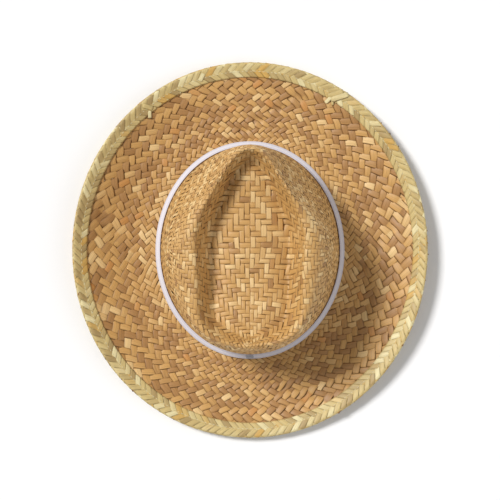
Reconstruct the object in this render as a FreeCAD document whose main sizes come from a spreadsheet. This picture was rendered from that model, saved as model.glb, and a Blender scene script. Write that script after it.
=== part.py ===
"""Wide-brimmed plaited straw hat with a pinched teardrop crown and a white elastic hat band.

Units are millimetres. +Z is up, the front of the hat faces -Y, and the origin is in the middle
of the head opening, on the plane that the hat rests on. Every outline is drawn by a turn angle
that starts at +X and runs anticlockwise seen from above, so the front is at 270 degrees.
"""
import FreeCAD, Part
import math
import os

import Sketcher

Vector = FreeCAD.Vector

# name, size in mm (or degrees), what it measures
SIZES = [
    ("CrownLength", 203.4, "outside of the crown at its base, front to back"),
    ("CrownWidth", 175.0, "outside of the crown at its base, side to side"),
    ("BrimFront", 85.2, "brim reach past the crown at front and back, binding included"),
    ("BrimSide", 88.0, "brim reach past the crown at the sides, binding included"),
    ("StrawThick", 2.0, "thickness of the plaited straw"),
    ("CrownHeight", 112.0, "height of the crown's ridge at the sides"),
    ("RidgeTilt", 4.0, "how much higher the ridge is in front, and lower behind"),
    ("RidgeFront", 94.4, "front tip of the ridge, from the middle"),
    ("RidgeBack", 89.0, "back of the ridge, from the middle"),
    ("RidgeWidth", 106.0, "ridge to ridge, side to side"),
    ("DentDepth", 28.0, "depth of the teardrop dent below the side ridges"),
    ("DentInset", 17.0, "run of the dent's wall, from ridge to floor, at the sides"),
    ("DentFront", 12.0, "run of the dent's wall at the front tip"),
    ("DentBack", 11.0, "run of the dent's wall at the back"),
    ("DentEnds", 10.0, "how much shallower the dent is at front and back"),
    ("DomeRise", 5.0, "rise of the dent's floor in its middle"),
    ("BaseFillet", 9.0, "radius of the turn from crown to brim, outside"),
    ("LandWidth", 14.0, "flat ring of the brim around the crown"),
    ("RiseSide", 20.0, "rise of the brim's edge at the sides"),
    ("RiseEnd", 8.0, "rise of the brim's edge at front and back"),
    ("BindingTop", 10.6, "width of the edge binding on the upper side"),
    ("BindingUnder", 9.6, "width of the edge binding on the under side"),
    ("BindingThick", 1.4, "thickness of the plaited binding"),
    ("WireDiameter", 0.9, "edge wire"),
    ("JoinerDiameter", 1.6, "crimped joiner of the edge wire"),
    ("JoinerBore", 1.1, "bore of the joiner"),
    ("JoinerLength", 10.0, "length of the joiner"),
    ("SeamInset", 1.2, "from the binding's inner edge to its line of stitches"),
    ("FoldRoom", 0.5, "free space in the binding's fold, past the joiner"),
    ("SweatHeight", 28.0, "height of the sweatband"),
    ("SweatThick", 1.0, "thickness of the sweatband"),
    ("SweatLow", 3.0, "lower edge of the sweatband above the resting plane"),
    ("ElasticWidth", 6.0, "width of the elastic hat band"),
    ("ElasticThick", 1.2, "thickness of the elastic hat band"),
    ("ElasticTilt", 38.0, "slope of the elastic, its outer edge lower, in degrees"),
    ("TackLength", 7.0, "length of the sewn joint of the elastic"),
    ("ThreadDiameter", 0.6, "sewing thread"),
    ("StitchLength", 4.0, "one visible stitch"),
    ("StitchPitch", 8.0, "from one stitch to the next"),
    ("FitGap", 0.3, "free space between the elastic and the straw"),
    ("SewnGap", 0.05, "space between pieces that are sewn together"),
]

RING_POINTS = 48            # points that each closed outline is drawn through
ROUND_SHARES = (0.0, 0.25, 0.5, 0.75, 1.0)
SWEAT_SHARES = (0.0, 0.1, 0.2, 0.3, 0.45, 0.6, 0.8, 1.0)

PINCH_SHARE = 0.30          # how much the front of the teardrop is narrowed
PINCH_START = 0.10          # where the narrowing starts, as a share of the front half
PINCH_END = 0.95            # and where it is complete
BLUNT_SHARE = 0.9           # how much the back of the teardrop is widened
FULLNESS = 2.3              # superellipse power of the crown's wall
PINCH_FOOT = 0.15           # upright share of the wall's height below the two pinched faces
PINCH_HEAD = 1.08           # where the pinched faces would end, just above the ridge
CAP_SHARE = 0.25            # the middle of the dent's floor that is closed by a plane

# Half sizes that sketches are first drawn with, before the sheet's own sizes take over.
DRAWN_LONG, DRAWN_SHORT = 106.0, 92.0
DRAWN_ACROSS, DRAWN_THROUGH = 3.0, 0.5


def make_sheet(doc):
    """Write the driving sizes to the spreadsheet, one alias to each."""
    sheet = doc.addObject("Spreadsheet::Sheet", "Sizes")
    for row, (name, size, note) in enumerate(SIZES, start=1):
        sheet.set("A%d" % row, name)
        sheet.set("B%d" % row, str(size))
        sheet.set("C%d" % row, note)
        sheet.setAlias("B%d" % row, name)
    doc.recompute()
    return sheet


# ---- outlines -------------------------------------------------------------------------

def smooth_step(low, high, value):
    """0 below low, 1 above high, and an even S between them."""
    share = min(max((value - low) / (high - low), 0.0), 1.0)
    return share * share * (3.0 - 2.0 * share)


def oval(size, reach_side, reach_end, height, turn):
    """A point of the crown's base oval, moved outwards by the two reaches."""
    return Vector((size.CrownWidth / 2.0 + reach_side) * math.cos(turn),
                  (size.CrownLength / 2.0 + reach_end) * math.sin(turn), height)


def teardrop(half_width, front, back, turn):
    """A point of a teardrop outline: its pointed end faces -Y, and its back end is blunt."""
    narrowing = PINCH_SHARE * smooth_step(PINCH_START, PINCH_END, -math.sin(turn))
    widening = BLUNT_SHARE * max(math.sin(turn), 0.0) ** 3
    middle = (back - front) / 2.0
    return Vector(half_width * math.cos(turn) * (1.0 - narrowing + widening),
                  middle + (back + front) / 2.0 * math.sin(turn), 0.0)


def ridge_outline(size, turn):
    """The crown's ridge: a teardrop that is higher in front."""
    point = teardrop(size.RidgeWidth / 2.0, size.RidgeFront, size.RidgeBack, turn)
    point.z = size.CrownHeight - size.RidgeTilt * math.sin(turn)
    return point


def floor_outline(size, turn):
    """The edge of the dent's floor: a smaller teardrop that rises to its two ends."""
    point = teardrop(size.RidgeWidth / 2.0 - size.DentInset, size.RidgeFront - size.DentFront,
                     size.RidgeBack - size.DentBack, turn)
    point.z = size.CrownHeight - size.DentDepth + size.DentEnds * math.sin(turn) ** 2
    return point


def turn_height(size):
    """Height at which the crown's wall leaves the turn from the brim."""
    return size.StrawThick + size.BaseFillet


def wall_point(size, climb, turn):
    """The outside of the crown's wall, climb 0 at its base and a right angle at the ridge.

    It is a superellipse from the base oval to the ridge. The two faces beside the front tip
    are pinched in: there the wall leans inwards along an S instead.
    """
    base = oval(size, 0.0, 0.0, turn_height(size), turn)
    ridge = ridge_outline(size, turn)
    upward = math.sin(climb) ** (2.0 / FULLNESS)
    full = 1.0 - max(math.cos(climb), 0.0) ** (2.0 / FULLNESS)
    hollow = smooth_step(PINCH_FOOT, PINCH_HEAD, upward) / smooth_step(PINCH_FOOT, PINCH_HEAD, 1.0)
    pinch = math.sin(2.0 * turn) ** 2 if math.sin(turn) < 0.0 else 0.0
    point = base + (ridge - base) * (full + (hollow - full) * pinch)
    point.z = base.z + (ridge.z - base.z) * upward
    return point


def dent_point(size, share, turn):
    """The dent's wall: an even S from the ridge down to the edge of the floor."""
    ridge = ridge_outline(size, turn)
    floor = floor_outline(size, turn)
    point = ridge + (floor - ridge) * share
    point.z = ridge.z + (floor.z - ridge.z) * smooth_step(0.0, 1.0, share)
    return point


def floor_point(size, share, turn):
    """The dent's floor: domed, risen at its two ends; share 1 at its edge, 0 in its middle."""
    edge = floor_outline(size, turn)
    level = size.CrownHeight - size.DentDepth
    middle = Vector(0.0, (size.RidgeBack - size.DentBack - size.RidgeFront + size.DentFront) / 2.0,
                    level + size.DomeRise)
    point = middle + (edge - middle) * share
    point.z = middle.z - size.DomeRise * share * share
    point.z += (edge.z - level) * smooth_step(CAP_SHARE, 1.0, share)
    return point


def fold_depth(size):
    """Room past the straw's edge for the wire's joiner inside the binding's fold."""
    return size.JoinerDiameter + 2.0 * size.SewnGap + size.FoldRoom


def brim_point(size, share, turn):
    """The brim's upper side from the flat land, share 0, to the straw's edge, share 1."""
    start = size.BaseFillet + size.LandWidth
    edge = fold_depth(size) + size.BindingThick
    side = start + (size.BrimSide - edge - start) * share
    end = start + (size.BrimFront - edge - start) * share
    rise = size.RiseEnd + (size.RiseSide - size.RiseEnd) * math.cos(turn) ** 2
    return oval(size, side, end, size.StrawThick + rise * share * share, turn)


# ---- surfaces and solids --------------------------------------------------------------

def ring(point_at):
    """A closed outline: the points that point_at gives at even turns."""
    return [point_at(2.0 * math.pi * index / RING_POINTS) for index in range(RING_POINTS)]


def ring_curve(points):
    """A smooth closed curve through a ring's points."""
    curve = Part.BSplineCurve()
    turns = [index / RING_POINTS for index in range(RING_POINTS + 1)]
    curve.interpolate(Points=points, PeriodicFlag=True, Parameters=turns)
    return curve


def ring_wire(points):
    """The same curve as a wire, to bound a flat face."""
    return Part.Wire([ring_curve(points).toShape()])


def skin(rings):
    """A smooth surface through closed rings, with its parameter at each ring."""
    curves = [ring_curve(points) for points in rings]
    steps = [0.0]
    for near, far in zip(rings, rings[1:]):
        gap = sum(a.distanceToPoint(b) for a, b in zip(near, far)) / RING_POINTS
        steps.append(steps[-1] + gap)
    columns = []
    for index in range(1, curves[0].NbPoles + 1):
        column = Part.BSplineCurve()
        column.interpolate(Points=[curve.getPole(index) for curve in curves], Parameters=steps)
        columns.append(column)
    rows = [[column.getPole(row) for column in columns]
            for row in range(1, columns[0].NbPoles + 1)]
    surface = Part.BSplineSurface()
    surface.buildFromPolesMultsKnots(
        rows, columns[0].getMultiplicities(), curves[0].getMultiplicities(),
        columns[0].getKnots(), curves[0].getKnots(), False, True,
        columns[0].Degree, curves[0].Degree)
    return surface, steps


def skin_normal(surface, step, index):
    """Unit normal at one ring's point: upwards on the brim, into the head on the crown."""
    along = surface.getDN(step, index / RING_POINTS, 1, 0)
    around = surface.getDN(step, index / RING_POINTS, 0, 1)
    return along.cross(around).normalize()


def offset_ring(surface, step, points, distance, level=False):
    """A ring moved along the skin's normals, or kept at its height where level is set."""
    moved = []
    for index, point in enumerate(points):
        normal = skin_normal(surface, step, index)
        if level:
            normal = Vector(normal.x, normal.y, 0.0).normalize()
        moved.append(point + normal * distance)
    return moved


def raised_ring(points, height):
    """A ring moved straight up."""
    return [point + Vector(0.0, 0.0, height) for point in points]


def flat_ring(outer, inner):
    """The flat face between two level rings."""
    return Part.makeFace([ring_wire(outer), ring_wire(inner)], "Part::FaceMakerBullseye")


def closed_solid(faces):
    """Sew faces into one solid with its normals outwards."""
    sewn = Part.Compound(faces)
    sewn.sewShape()
    solid = Part.Solid(sewn.Shells[0])
    if solid.Volume < 0.0:
        solid.reverse()
    return solid


def add_shape(doc, name, shape):
    """Put a freely curved solid, or a group of them, in the document."""
    feature = doc.addObject("Part::Feature", name)
    feature.Label = name
    feature.Shape = shape
    feature.Placement = FreeCAD.Placement()
    return feature


# ---- straw crown and brim -------------------------------------------------------------

def crown_rings(size):
    """The outside of the crown, from the top of the turn over the ridge to the dent's floor."""
    rings = [ring(lambda turn: wall_point(size, math.radians(climb), turn))
             for climb in (0, 15, 30, 45, 60, 70, 80, 90)]
    rings += [ring(lambda turn: dent_point(size, share, turn))
              for share in (0.15, 0.3, 0.5, 0.7, 0.85, 1.0)]
    rings += [ring(lambda turn: floor_point(size, share, turn))
              for share in (0.75, 0.5, CAP_SHARE)]
    return rings


def make_crown(doc, size):
    """The pressed crown: one thickness of straw, open below."""
    outer = crown_rings(size)
    surface, steps = skin(outer)
    inner = [offset_ring(surface, steps[0], outer[0], size.StrawThick, level=True)]
    inner += [offset_ring(surface, step, points, size.StrawThick)
              for step, points in zip(steps[1:-1], outer[1:-1])]
    inner.append(raised_ring(outer[-1], -size.StrawThick))
    faces = [surface.toShape(), skin(inner)[0].toShape(),
             Part.Face(ring_wire(outer[-1])), Part.Face(ring_wire(inner[-1])),
             flat_ring(outer[0], inner[0])]
    return add_shape(doc, "straw_crown", closed_solid(faces))


def fillet_ring(size, radius, angle):
    """The turn from crown to brim at one angle, on an arc of the given radius."""
    reach = size.BaseFillet - radius * math.cos(angle)
    height = turn_height(size) - radius * math.sin(angle)
    return ring(lambda turn: oval(size, reach, reach, height, turn))


def make_brim(doc, size):
    """The brim with the turn up to the crown, its flat land and its dished outer part."""
    angles = [share * math.pi / 2.0 for share in ROUND_SHARES]
    turn_out = [fillet_ring(size, size.BaseFillet, angle) for angle in angles]
    turn_in = [fillet_ring(size, size.BaseFillet + size.StrawThick, angle) for angle in angles]
    upper = [ring(lambda turn: brim_point(size, share, turn))
             for share in (0.0, 0.05, 0.12, 0.25, 0.45, 0.7, 1.0)]
    surface, steps = skin(upper)
    under = [raised_ring(upper[0], -size.StrawThick)]
    under += [offset_ring(surface, step, points, -size.StrawThick)
              for step, points in zip(steps[1:], upper[1:])]
    faces = [skin(turn_out)[0].toShape(), skin(turn_in)[0].toShape(),
             flat_ring(turn_out[0], turn_in[0]),
             flat_ring(upper[0], turn_out[-1]), flat_ring(under[0], turn_in[-1]),
             surface.toShape(), skin(under)[0].toShape(),
             skin([upper[-1], under[-1]])[0].toShape()]
    return add_shape(doc, "straw_brim", closed_solid(faces)), surface, steps


# ---- edge: wire, joiner, binding, stitches --------------------------------------------

def edge_point(surface, last, inset, lift, index):
    """A place by the brim's edge: inset from the straw's edge, lift above its upper side."""
    around = index / RING_POINTS
    run = surface.getDN(last, around, 1, 0)
    step = last - max(inset, 0.0) / run.Length
    point = surface.value(step, around)
    if inset < 0.0:
        point = point - run.normalize() * inset
    return point + skin_normal(surface, step, index) * lift


def edge_ring(surface, last, inset, lift):
    """A closed ring that runs along the brim's edge."""
    return [edge_point(surface, last, inset, lift, index) for index in range(RING_POINTS)]


def edge_skin(surface, last, section):
    """The skin that a line of (inset, lift) points sweeps along the brim's edge."""
    return skin([edge_ring(surface, last, inset, lift) for inset, lift in section])[0].toShape()


def half_round(centre, radius_along, radius_up, start):
    """Half an ellipse of (inset, lift) points, from the start angle anticlockwise."""
    points = []
    for share in ROUND_SHARES:
        angle = start + share * math.pi
        points.append((centre[0] + radius_along * math.cos(angle),
                       centre[1] + radius_up * math.sin(angle)))
    return points


def wire_centre(size):
    """Where the edge wire lies, as (inset, lift)."""
    return (-size.SewnGap - size.JoinerDiameter / 2.0, -size.StrawThick / 2.0)


def make_wire(doc, size, surface, last):
    """The round wire inside the binding's fold."""
    radius = size.WireDiameter / 2.0
    faces = [edge_skin(surface, last, half_round(wire_centre(size), radius, radius, start))
             for start in (0.0, math.pi)]
    return add_shape(doc, "edge_wire", closed_solid(faces))


def straight_run(inner, outer, lift):
    """Five (inset, lift) points along one side of the brim."""
    return [(inner + (outer - inner) * share, lift) for share in ROUND_SHARES]


def make_binding(doc, size, surface, last):
    """The plaited binding, folded over the edge and its wire."""
    middle = (0.0, -size.StrawThick / 2.0)
    inside = size.StrawThick / 2.0 + size.SewnGap
    outside = inside + size.BindingThick
    fold_in = fold_depth(size)
    top, low = middle[1] + outside, middle[1] - outside
    top_in, low_in = middle[1] + inside, middle[1] - inside
    quarter = math.pi / 2.0
    sections = [
        straight_run(size.BindingTop, 0.0, top),
        half_round(middle, fold_in + size.BindingThick, outside, quarter),
        straight_run(0.0, size.BindingUnder, low),
        [(size.BindingUnder, low), (size.BindingUnder, low_in)],
        straight_run(size.BindingUnder, 0.0, low_in),
        half_round(middle, fold_in, inside, quarter),
        straight_run(0.0, size.BindingTop, top_in),
        [(size.BindingTop, top_in), (size.BindingTop, top)],
    ]
    faces = [edge_skin(surface, last, section) for section in sections]
    return add_shape(doc, "edge_binding", closed_solid(faces))


def sketch_on(body, name, role):
    """A sketch on one of the body's own origin planes."""
    sketch = body.newObject("Sketcher::SketchObject", name)
    plane = [item for item in body.Origin.OriginFeatures if item.Role == role][0]
    sketch.AttachmentSupport = (plane, [""])
    sketch.MapMode = "FlatFace"
    return sketch


def bound_circle(sketch, alias):
    """A circle about the sketch's origin whose diameter is a cell of the sheet."""
    circle = sketch.addGeometry(Part.Circle(Vector(), Vector(0, 0, 1), 1.0))
    sketch.addConstraint(Sketcher.Constraint("Coincident", circle, 3, -1, 1))
    diameter = sketch.addConstraint(Sketcher.Constraint("Diameter", circle, 2.0))
    sketch.setExpression("Constraints[%d]" % diameter, "Sizes." + alias)


def make_joiner(doc, size, surface, last):
    """The crimped tube that joins the two ends of the edge wire, at the back."""
    body = doc.addObject("PartDesign::Body", "wire_joiner")
    body.Label = "wire_joiner"
    tube = sketch_on(body, "joiner_tube", "YZ_Plane")
    bound_circle(tube, "JoinerDiameter")
    pad = body.newObject("PartDesign::Pad", "joiner_pad")
    pad.Profile = tube
    pad.Midplane = True
    pad.setExpression("Length", "Sizes.JoinerLength")
    bore = sketch_on(body, "joiner_bore", "YZ_Plane")
    bound_circle(bore, "JoinerBore")
    pocket = body.newObject("PartDesign::Pocket", "joiner_pocket")
    pocket.Profile = bore
    pocket.Midplane = True
    pocket.setExpression("Length", "2 * Sizes.JoinerLength")
    inset, lift = wire_centre(size)
    body.Placement.Base = edge_point(surface, last, inset, lift, RING_POINTS // 4)
    return body


def stitch(start, end, diameter):
    """One straight stitch of round thread."""
    along = end - start
    return Part.makeCylinder(diameter / 2.0, along.Length, start, along)


def stitches_along(curve, size):
    """Separate stitches, evenly spaced, along a closed curve."""
    length = curve.length()
    count = int(length // size.StitchPitch)
    pitch = length / count
    group = []
    for number in range(count):
        start = curve.value(curve.parameterAtDistance(number * pitch, 0.0))
        end = curve.value(curve.parameterAtDistance(number * pitch + size.StitchLength, 0.0))
        group.append(stitch(start, end, size.ThreadDiameter))
    return group


def make_binding_stitches(doc, size, surface, last):
    """Stitches through binding and brim, seen on the upper and on the under side."""
    clear = size.BindingThick + 2.0 * size.SewnGap + size.ThreadDiameter / 2.0
    above = edge_ring(surface, last, size.BindingTop - size.SeamInset, clear)
    below = edge_ring(surface, last, size.BindingUnder - size.SeamInset,
                      -size.StrawThick - clear)
    group = stitches_along(ring_curve(above), size) + stitches_along(ring_curve(below), size)
    return add_shape(doc, "binding_stitches", Part.Compound(group))


# ---- sweatband ------------------------------------------------------------------------

def lining_ring(size, height, depth):
    """A level ring inside the crown, depth in from the straw's outside."""
    drop = max(turn_height(size) - height, 0.0)
    radius = size.BaseFillet + depth
    flare = radius - math.sqrt(radius * radius - drop * drop)
    points = []
    for index in range(RING_POINTS):
        turn = 2.0 * math.pi * index / RING_POINTS
        climb_range = ridge_outline(size, turn).z - turn_height(size)
        upward = max(height - turn_height(size), 0.0) / climb_range
        wall = wall_point(size, math.asin(upward ** (FULLNESS / 2.0)), turn)
        normal = Vector(math.cos(turn) * size.CrownLength, math.sin(turn) * size.CrownWidth, 0.0)
        point = wall - normal.normalize() * (depth - flare)
        points.append(Vector(point.x, point.y, height))
    return points


def sweat_heights(size):
    """The levels that the sweatband is drawn through."""
    return [size.SweatLow + size.SweatHeight * share for share in SWEAT_SHARES]


def make_sweatband(doc, size):
    """The soft band inside the head opening."""
    near = size.StrawThick + size.FitGap
    far = near + size.SweatThick
    outer = [lining_ring(size, height, near) for height in sweat_heights(size)]
    inner = [lining_ring(size, height, far) for height in sweat_heights(size)]
    faces = [skin(outer)[0].toShape(), skin(inner)[0].toShape(),
             flat_ring(outer[0], inner[0]), flat_ring(outer[-1], inner[-1])]
    return add_shape(doc, "sweatband", closed_solid(faces))


def make_sweat_stitches(doc, size):
    """Stitches along the lower edge of the sweatband."""
    height = size.SweatLow + 2.0 * size.ThreadDiameter
    depth = size.StrawThick + size.FitGap + size.SweatThick + size.ThreadDiameter
    seam = ring_curve(lining_ring(size, height, depth))
    return add_shape(doc, "sweatband_stitches", Part.Compound(stitches_along(seam, size)))


# ---- elastic hat band -----------------------------------------------------------------

# The flat elastic lies across the hollow turn as a chord, FitGap clear of it.
CHORD_DEPTH = ("(sqrt(Sizes.BaseFillet ^ 2 - Sizes.ElasticWidth ^ 2 / 4)"
               " - Sizes.FitGap - Sizes.ElasticThick / 2)")
ELASTIC_REACH = "Sizes.BaseFillet - %s * sin(Sizes.ElasticTilt)" % CHORD_DEPTH
ELASTIC_HEIGHT = ("Sizes.StrawThick + Sizes.BaseFillet - %s * cos(Sizes.ElasticTilt)"
                  % CHORD_DEPTH)


def elastic_path(body):
    """The oval that the middle of the elastic follows."""
    path = sketch_on(body, "elastic_path", "XY_Plane")
    path.setExpression("AttachmentOffset.Base.z", ELASTIC_HEIGHT)
    ellipse = path.addGeometry(Part.Ellipse(Vector(0, DRAWN_LONG, 0), Vector(DRAWN_SHORT, 0, 0),
                                            Vector()))
    path.exposeInternalGeometry(ellipse)
    path.addConstraint(Sketcher.Constraint("Coincident", ellipse, 3, -1, 1))
    long_axis, short_axis = ellipse + 1, ellipse + 2
    path.addConstraint(Sketcher.Constraint("Vertical", long_axis))
    length = path.addConstraint(Sketcher.Constraint("Distance", long_axis, 2.0 * DRAWN_LONG))
    width = path.addConstraint(Sketcher.Constraint("Distance", short_axis,
                                                    2.0 * DRAWN_SHORT))
    path.setExpression("Constraints[%d]" % length, "Sizes.CrownLength + 2 * (%s)" % ELASTIC_REACH)
    path.setExpression("Constraints[%d]" % width, "Sizes.CrownWidth + 2 * (%s)" % ELASTIC_REACH)
    return path


def sloped_rectangle(sketch, width, thickness):
    """A rectangle about the sketch's origin, sized by two expressions."""
    corners = [Vector(-DRAWN_ACROSS, -DRAWN_THROUGH, 0), Vector(DRAWN_ACROSS, -DRAWN_THROUGH, 0),
               Vector(DRAWN_ACROSS, DRAWN_THROUGH, 0), Vector(-DRAWN_ACROSS, DRAWN_THROUGH, 0)]
    for start, end in zip(corners, corners[1:] + corners[:1]):
        sketch.addGeometry(Part.LineSegment(start, end))
    for line in range(4):
        sketch.addConstraint(Sketcher.Constraint("Coincident", line, 2, (line + 1) % 4, 1))
    for line, kind in enumerate(("Horizontal", "Vertical", "Horizontal", "Vertical")):
        sketch.addConstraint(Sketcher.Constraint(kind, line))
    sketch.addConstraint(Sketcher.Constraint("Symmetric", 0, 1, 1, 2, -1, 1))
    across = sketch.addConstraint(Sketcher.Constraint("DistanceX", 0, 1, 0, 2,
                                                     2.0 * DRAWN_ACROSS))
    through = sketch.addConstraint(Sketcher.Constraint("DistanceY", 1, 1, 1, 2,
                                                      2.0 * DRAWN_THROUGH))
    sketch.setExpression("Constraints[%d]" % across, width)
    sketch.setExpression("Constraints[%d]" % through, thickness)


def place_section(sketch, lift):
    """Put a section across the elastic at its back, sloped with the elastic."""
    sketch.AttachmentOffset = FreeCAD.Placement(Vector(), FreeCAD.Rotation(Vector(0, 0, 1), 1.0))
    sketch.setExpression("AttachmentOffset.Rotation.Angle", "360 - Sizes.ElasticTilt")
    sketch.setExpression(
        "AttachmentOffset.Base.x",
        "Sizes.CrownLength / 2 + %s + (%s) * sin(Sizes.ElasticTilt)" % (ELASTIC_REACH, lift))
    sketch.setExpression("AttachmentOffset.Base.y",
                         "%s + (%s) * cos(Sizes.ElasticTilt)" % (ELASTIC_HEIGHT, lift))


def make_elastic(doc):
    """The closed elastic band around the crown's base."""
    body = doc.addObject("PartDesign::Body", "hat_band")
    body.Label = "hat_band"
    path = elastic_path(body)
    section = sketch_on(body, "elastic_section", "YZ_Plane")
    sloped_rectangle(section, "Sizes.ElasticWidth", "Sizes.ElasticThick")
    place_section(section, "0")
    doc.recompute()
    pipe = body.newObject("PartDesign::AdditivePipe", "elastic_pipe")
    pipe.Profile = section
    pipe.Spine = (path, ["Edge1"])
    return body


def make_tack(doc):
    """The bar of close stitches that closes the elastic into a loop, at the back."""
    body = doc.addObject("PartDesign::Body", "hat_band_tack")
    body.Label = "hat_band_tack"
    section = sketch_on(body, "tack_section", "YZ_Plane")
    sloped_rectangle(section, "Sizes.ElasticWidth", "Sizes.ThreadDiameter")
    place_section(section, "(Sizes.ElasticThick + Sizes.ThreadDiameter) / 2 + Sizes.SewnGap")
    pad = body.newObject("PartDesign::Pad", "tack_pad")
    pad.Profile = section
    pad.Midplane = True
    pad.setExpression("Length", "Sizes.TackLength")
    return body


# ---- document -------------------------------------------------------------------------

def check_document(doc, nodes):
    """Stop if anything in the document failed, before any file is written."""
    for item in doc.Objects:
        if "Invalid" in item.State or "Error" in item.State:
            raise RuntimeError("%s failed: %s" % (item.Name, item.State))
    for node in nodes:
        if node.Shape.isNull() or not node.Shape.isValid():
            raise RuntimeError("%s has no valid shape" % node.Label)


def main():
    """Build the document and write one file for each sub-part."""
    os.makedirs("parts", exist_ok=True)
    doc = FreeCAD.newDocument("straw_hat")
    size = make_sheet(doc)
    brim, surface, steps = make_brim(doc, size)
    nodes = [
        make_crown(doc, size),
        brim,
        make_wire(doc, size, surface, steps[-1]),
        make_joiner(doc, size, surface, steps[-1]),
        make_binding(doc, size, surface, steps[-1]),
        make_binding_stitches(doc, size, surface, steps[-1]),
        make_sweatband(doc, size),
        make_sweat_stitches(doc, size),
        make_elastic(doc),
        make_tack(doc),
    ]
    doc.recompute()
    check_document(doc, nodes)
    for node in nodes:
        node.Shape.exportStep(os.path.join("parts", node.Label + ".step"))
        box = node.Shape.BoundBox
        print("%-20s solids %3d  volume %9.0f  z %6.2f to %6.2f"
              % (node.Label, len(node.Shape.Solids), node.Shape.Volume, box.ZMin, box.ZMax))


main()
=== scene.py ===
"""A hand-plaited straw hat: its woven body, plaited edge binding, elastic band and sweatband.

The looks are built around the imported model, in its own frame: metres, +Z up, front towards -Y.
A turn is an angle about +Z from +X, so the front of the hat is at three quarters of a circle.
"""

import functools
import math

import bpy
import numpy as np
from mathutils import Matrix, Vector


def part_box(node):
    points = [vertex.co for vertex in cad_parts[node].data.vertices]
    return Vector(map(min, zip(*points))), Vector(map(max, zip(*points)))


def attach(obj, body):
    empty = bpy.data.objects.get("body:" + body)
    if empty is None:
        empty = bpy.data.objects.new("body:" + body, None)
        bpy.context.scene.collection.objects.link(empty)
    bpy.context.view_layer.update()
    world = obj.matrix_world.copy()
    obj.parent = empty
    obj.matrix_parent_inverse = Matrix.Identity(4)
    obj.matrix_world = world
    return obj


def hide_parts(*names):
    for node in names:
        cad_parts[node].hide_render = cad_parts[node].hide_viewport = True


bl_info = {
    "name": "Plaited Straw Hat",
    "version": (1, 0, 0),
    "blender": (4, 5, 0),
    "location": "View3D > Sidebar > Straw Hat",
    "description": "Weaves a straw hat's body, edge binding, elastic and sweatband",
    "category": "Object",
}

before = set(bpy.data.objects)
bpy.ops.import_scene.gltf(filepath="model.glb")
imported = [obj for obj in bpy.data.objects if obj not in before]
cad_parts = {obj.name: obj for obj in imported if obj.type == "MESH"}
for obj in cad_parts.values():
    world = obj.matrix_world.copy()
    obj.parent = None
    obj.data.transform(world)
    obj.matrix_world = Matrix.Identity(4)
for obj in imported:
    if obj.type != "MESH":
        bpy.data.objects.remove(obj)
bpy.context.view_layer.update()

MM = 0.001
FULL_TURN = 2.0 * math.pi

# The crown's shape, as in the model
PINCH_SHARE = 0.30          # how much the front of the teardrop is narrowed
PINCH_START = 0.10          # where the narrowing starts, as a share of the front half
PINCH_END = 0.95            # and where it is complete
BLUNT_SHARE = 0.9           # how much the back of the teardrop is widened
FULLNESS = 2.3              # superellipse power of the crown's wall
PINCH_FOOT = 0.15           # upright share of the wall's height below the two pinched faces
PINCH_HEAD = 1.08           # where the pinched faces would end, just above the ridge
CAP_SHARE = 0.25            # the middle of the dent's floor, which stays level

# The weave
CONE_LENGTH = math.pi / math.sqrt(8.0)   # from the middle of the flat plait to a turning point
SAMPLES = 3                              # places along a strand for each strand it crosses
SLOPE_SHARE = 0.41                       # height a third of the way to a crossing of the other kind
FLOAT_RISE = 1.12                        # a float's middle, against its ends
FLOAT_CELLS = 2                          # a float passes over this many strands, then under them
SEAM_REACH = 1.2                         # width of the strip beside a seam, in strands
HALF_FINE = 6                            # steps of a traced strand for half a crossing
ROW_FLOATS = 0.05 * MM                   # how unevenly floats lie in height
ROW_SHIFT = 0.15 * MM                    # how unevenly floats lie to their sides
PATCH_LENGTHS = (0.083, 0.052)           # metres along the edge between the binding's patches
PATCH_TONE = 0.16                        # how far the patches go in tone
STRAW_DUST_AND_SHADE = 0.68                        # dust and painted shade where the body's strands cross
REED_DUST_AND_SHADE = 0.22                         # dust and painted shade where the binding's strips cross

# The table of the hat's surface
COLUMNS = 720               # directions that the surface is tabled in
LEVELS = 900                # places along each direction
CORE = 15.0 * MM            # keeps the middle of the table from crowding
PAST_EDGE = 6               # rings past the cut edge
SQUEEZE_RINGS = 30.0        # rings of the brim over which its closer packing starts

# Steel of the edge wire and its joiner
STEEL_DARK, STEEL_PALE = "#8E8C88", "#BDBBB6"

# Lights: degrees from straight above, and degrees round from the front
MAIN_LIGHT = (40.0, 58.0)
FILL_LIGHT = (60.0, -110.0)
FILL_SOFTNESS = math.radians(60.0)
FLOOR_HALF = 4.0            # half the floor's width, in metres

# Waves that strands stray along: direction in radians, length in metres, phase
STRAY_WAVES = [(0.4, 0.071, 0.3), (1.7, 0.053, 1.9), (2.9, 0.088, 4.4)]
STRAY_GROWTH = (0.11, 0.19)     # flat radii between which the straying grows

GRAIN_SHIFT = 0.371         # metres of grain from one strip to the next, so that none match
GIRTH_SHARE = 2.1           # way around a strip's section, against its width

# A split straw: flat below, domed above, as (across, up) shares of its width and thickness
STRAW_SECTION = np.array([(-.5, -.05), (-.4, .3), (-.06, .5), (.34, .38),
                          (.5, -.05), (.34, -.42), (0, -.5), (-.34, -.42)])
REED_SECTION = np.array([(-.5, -.1), (-.45, .36), (-.1, .5), (.4, .42),
                         (.5, -.1), (.34, -.45), (0, -.5), (-.34, -.45)])
ROUND_SECTION = np.array([(-.5 * math.cos(a), .5 * math.sin(a))
                          for a in np.arange(6) * FULL_TURN / 6])


# ---- values and settings ---------------------------------------------------------------

def linear(code):
    """The linear colour of an sRGB hex value, each channel by the standard curve."""
    srgb = np.array([int(code[at:at + 2], 16) for at in (1, 3, 5)]) / 255.0
    rgb = np.where(srgb <= 0.04045, srgb / 12.92, ((srgb + 0.055) / 1.055) ** 2.4)
    return (*rgb.tolist(), 1.0)


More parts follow.
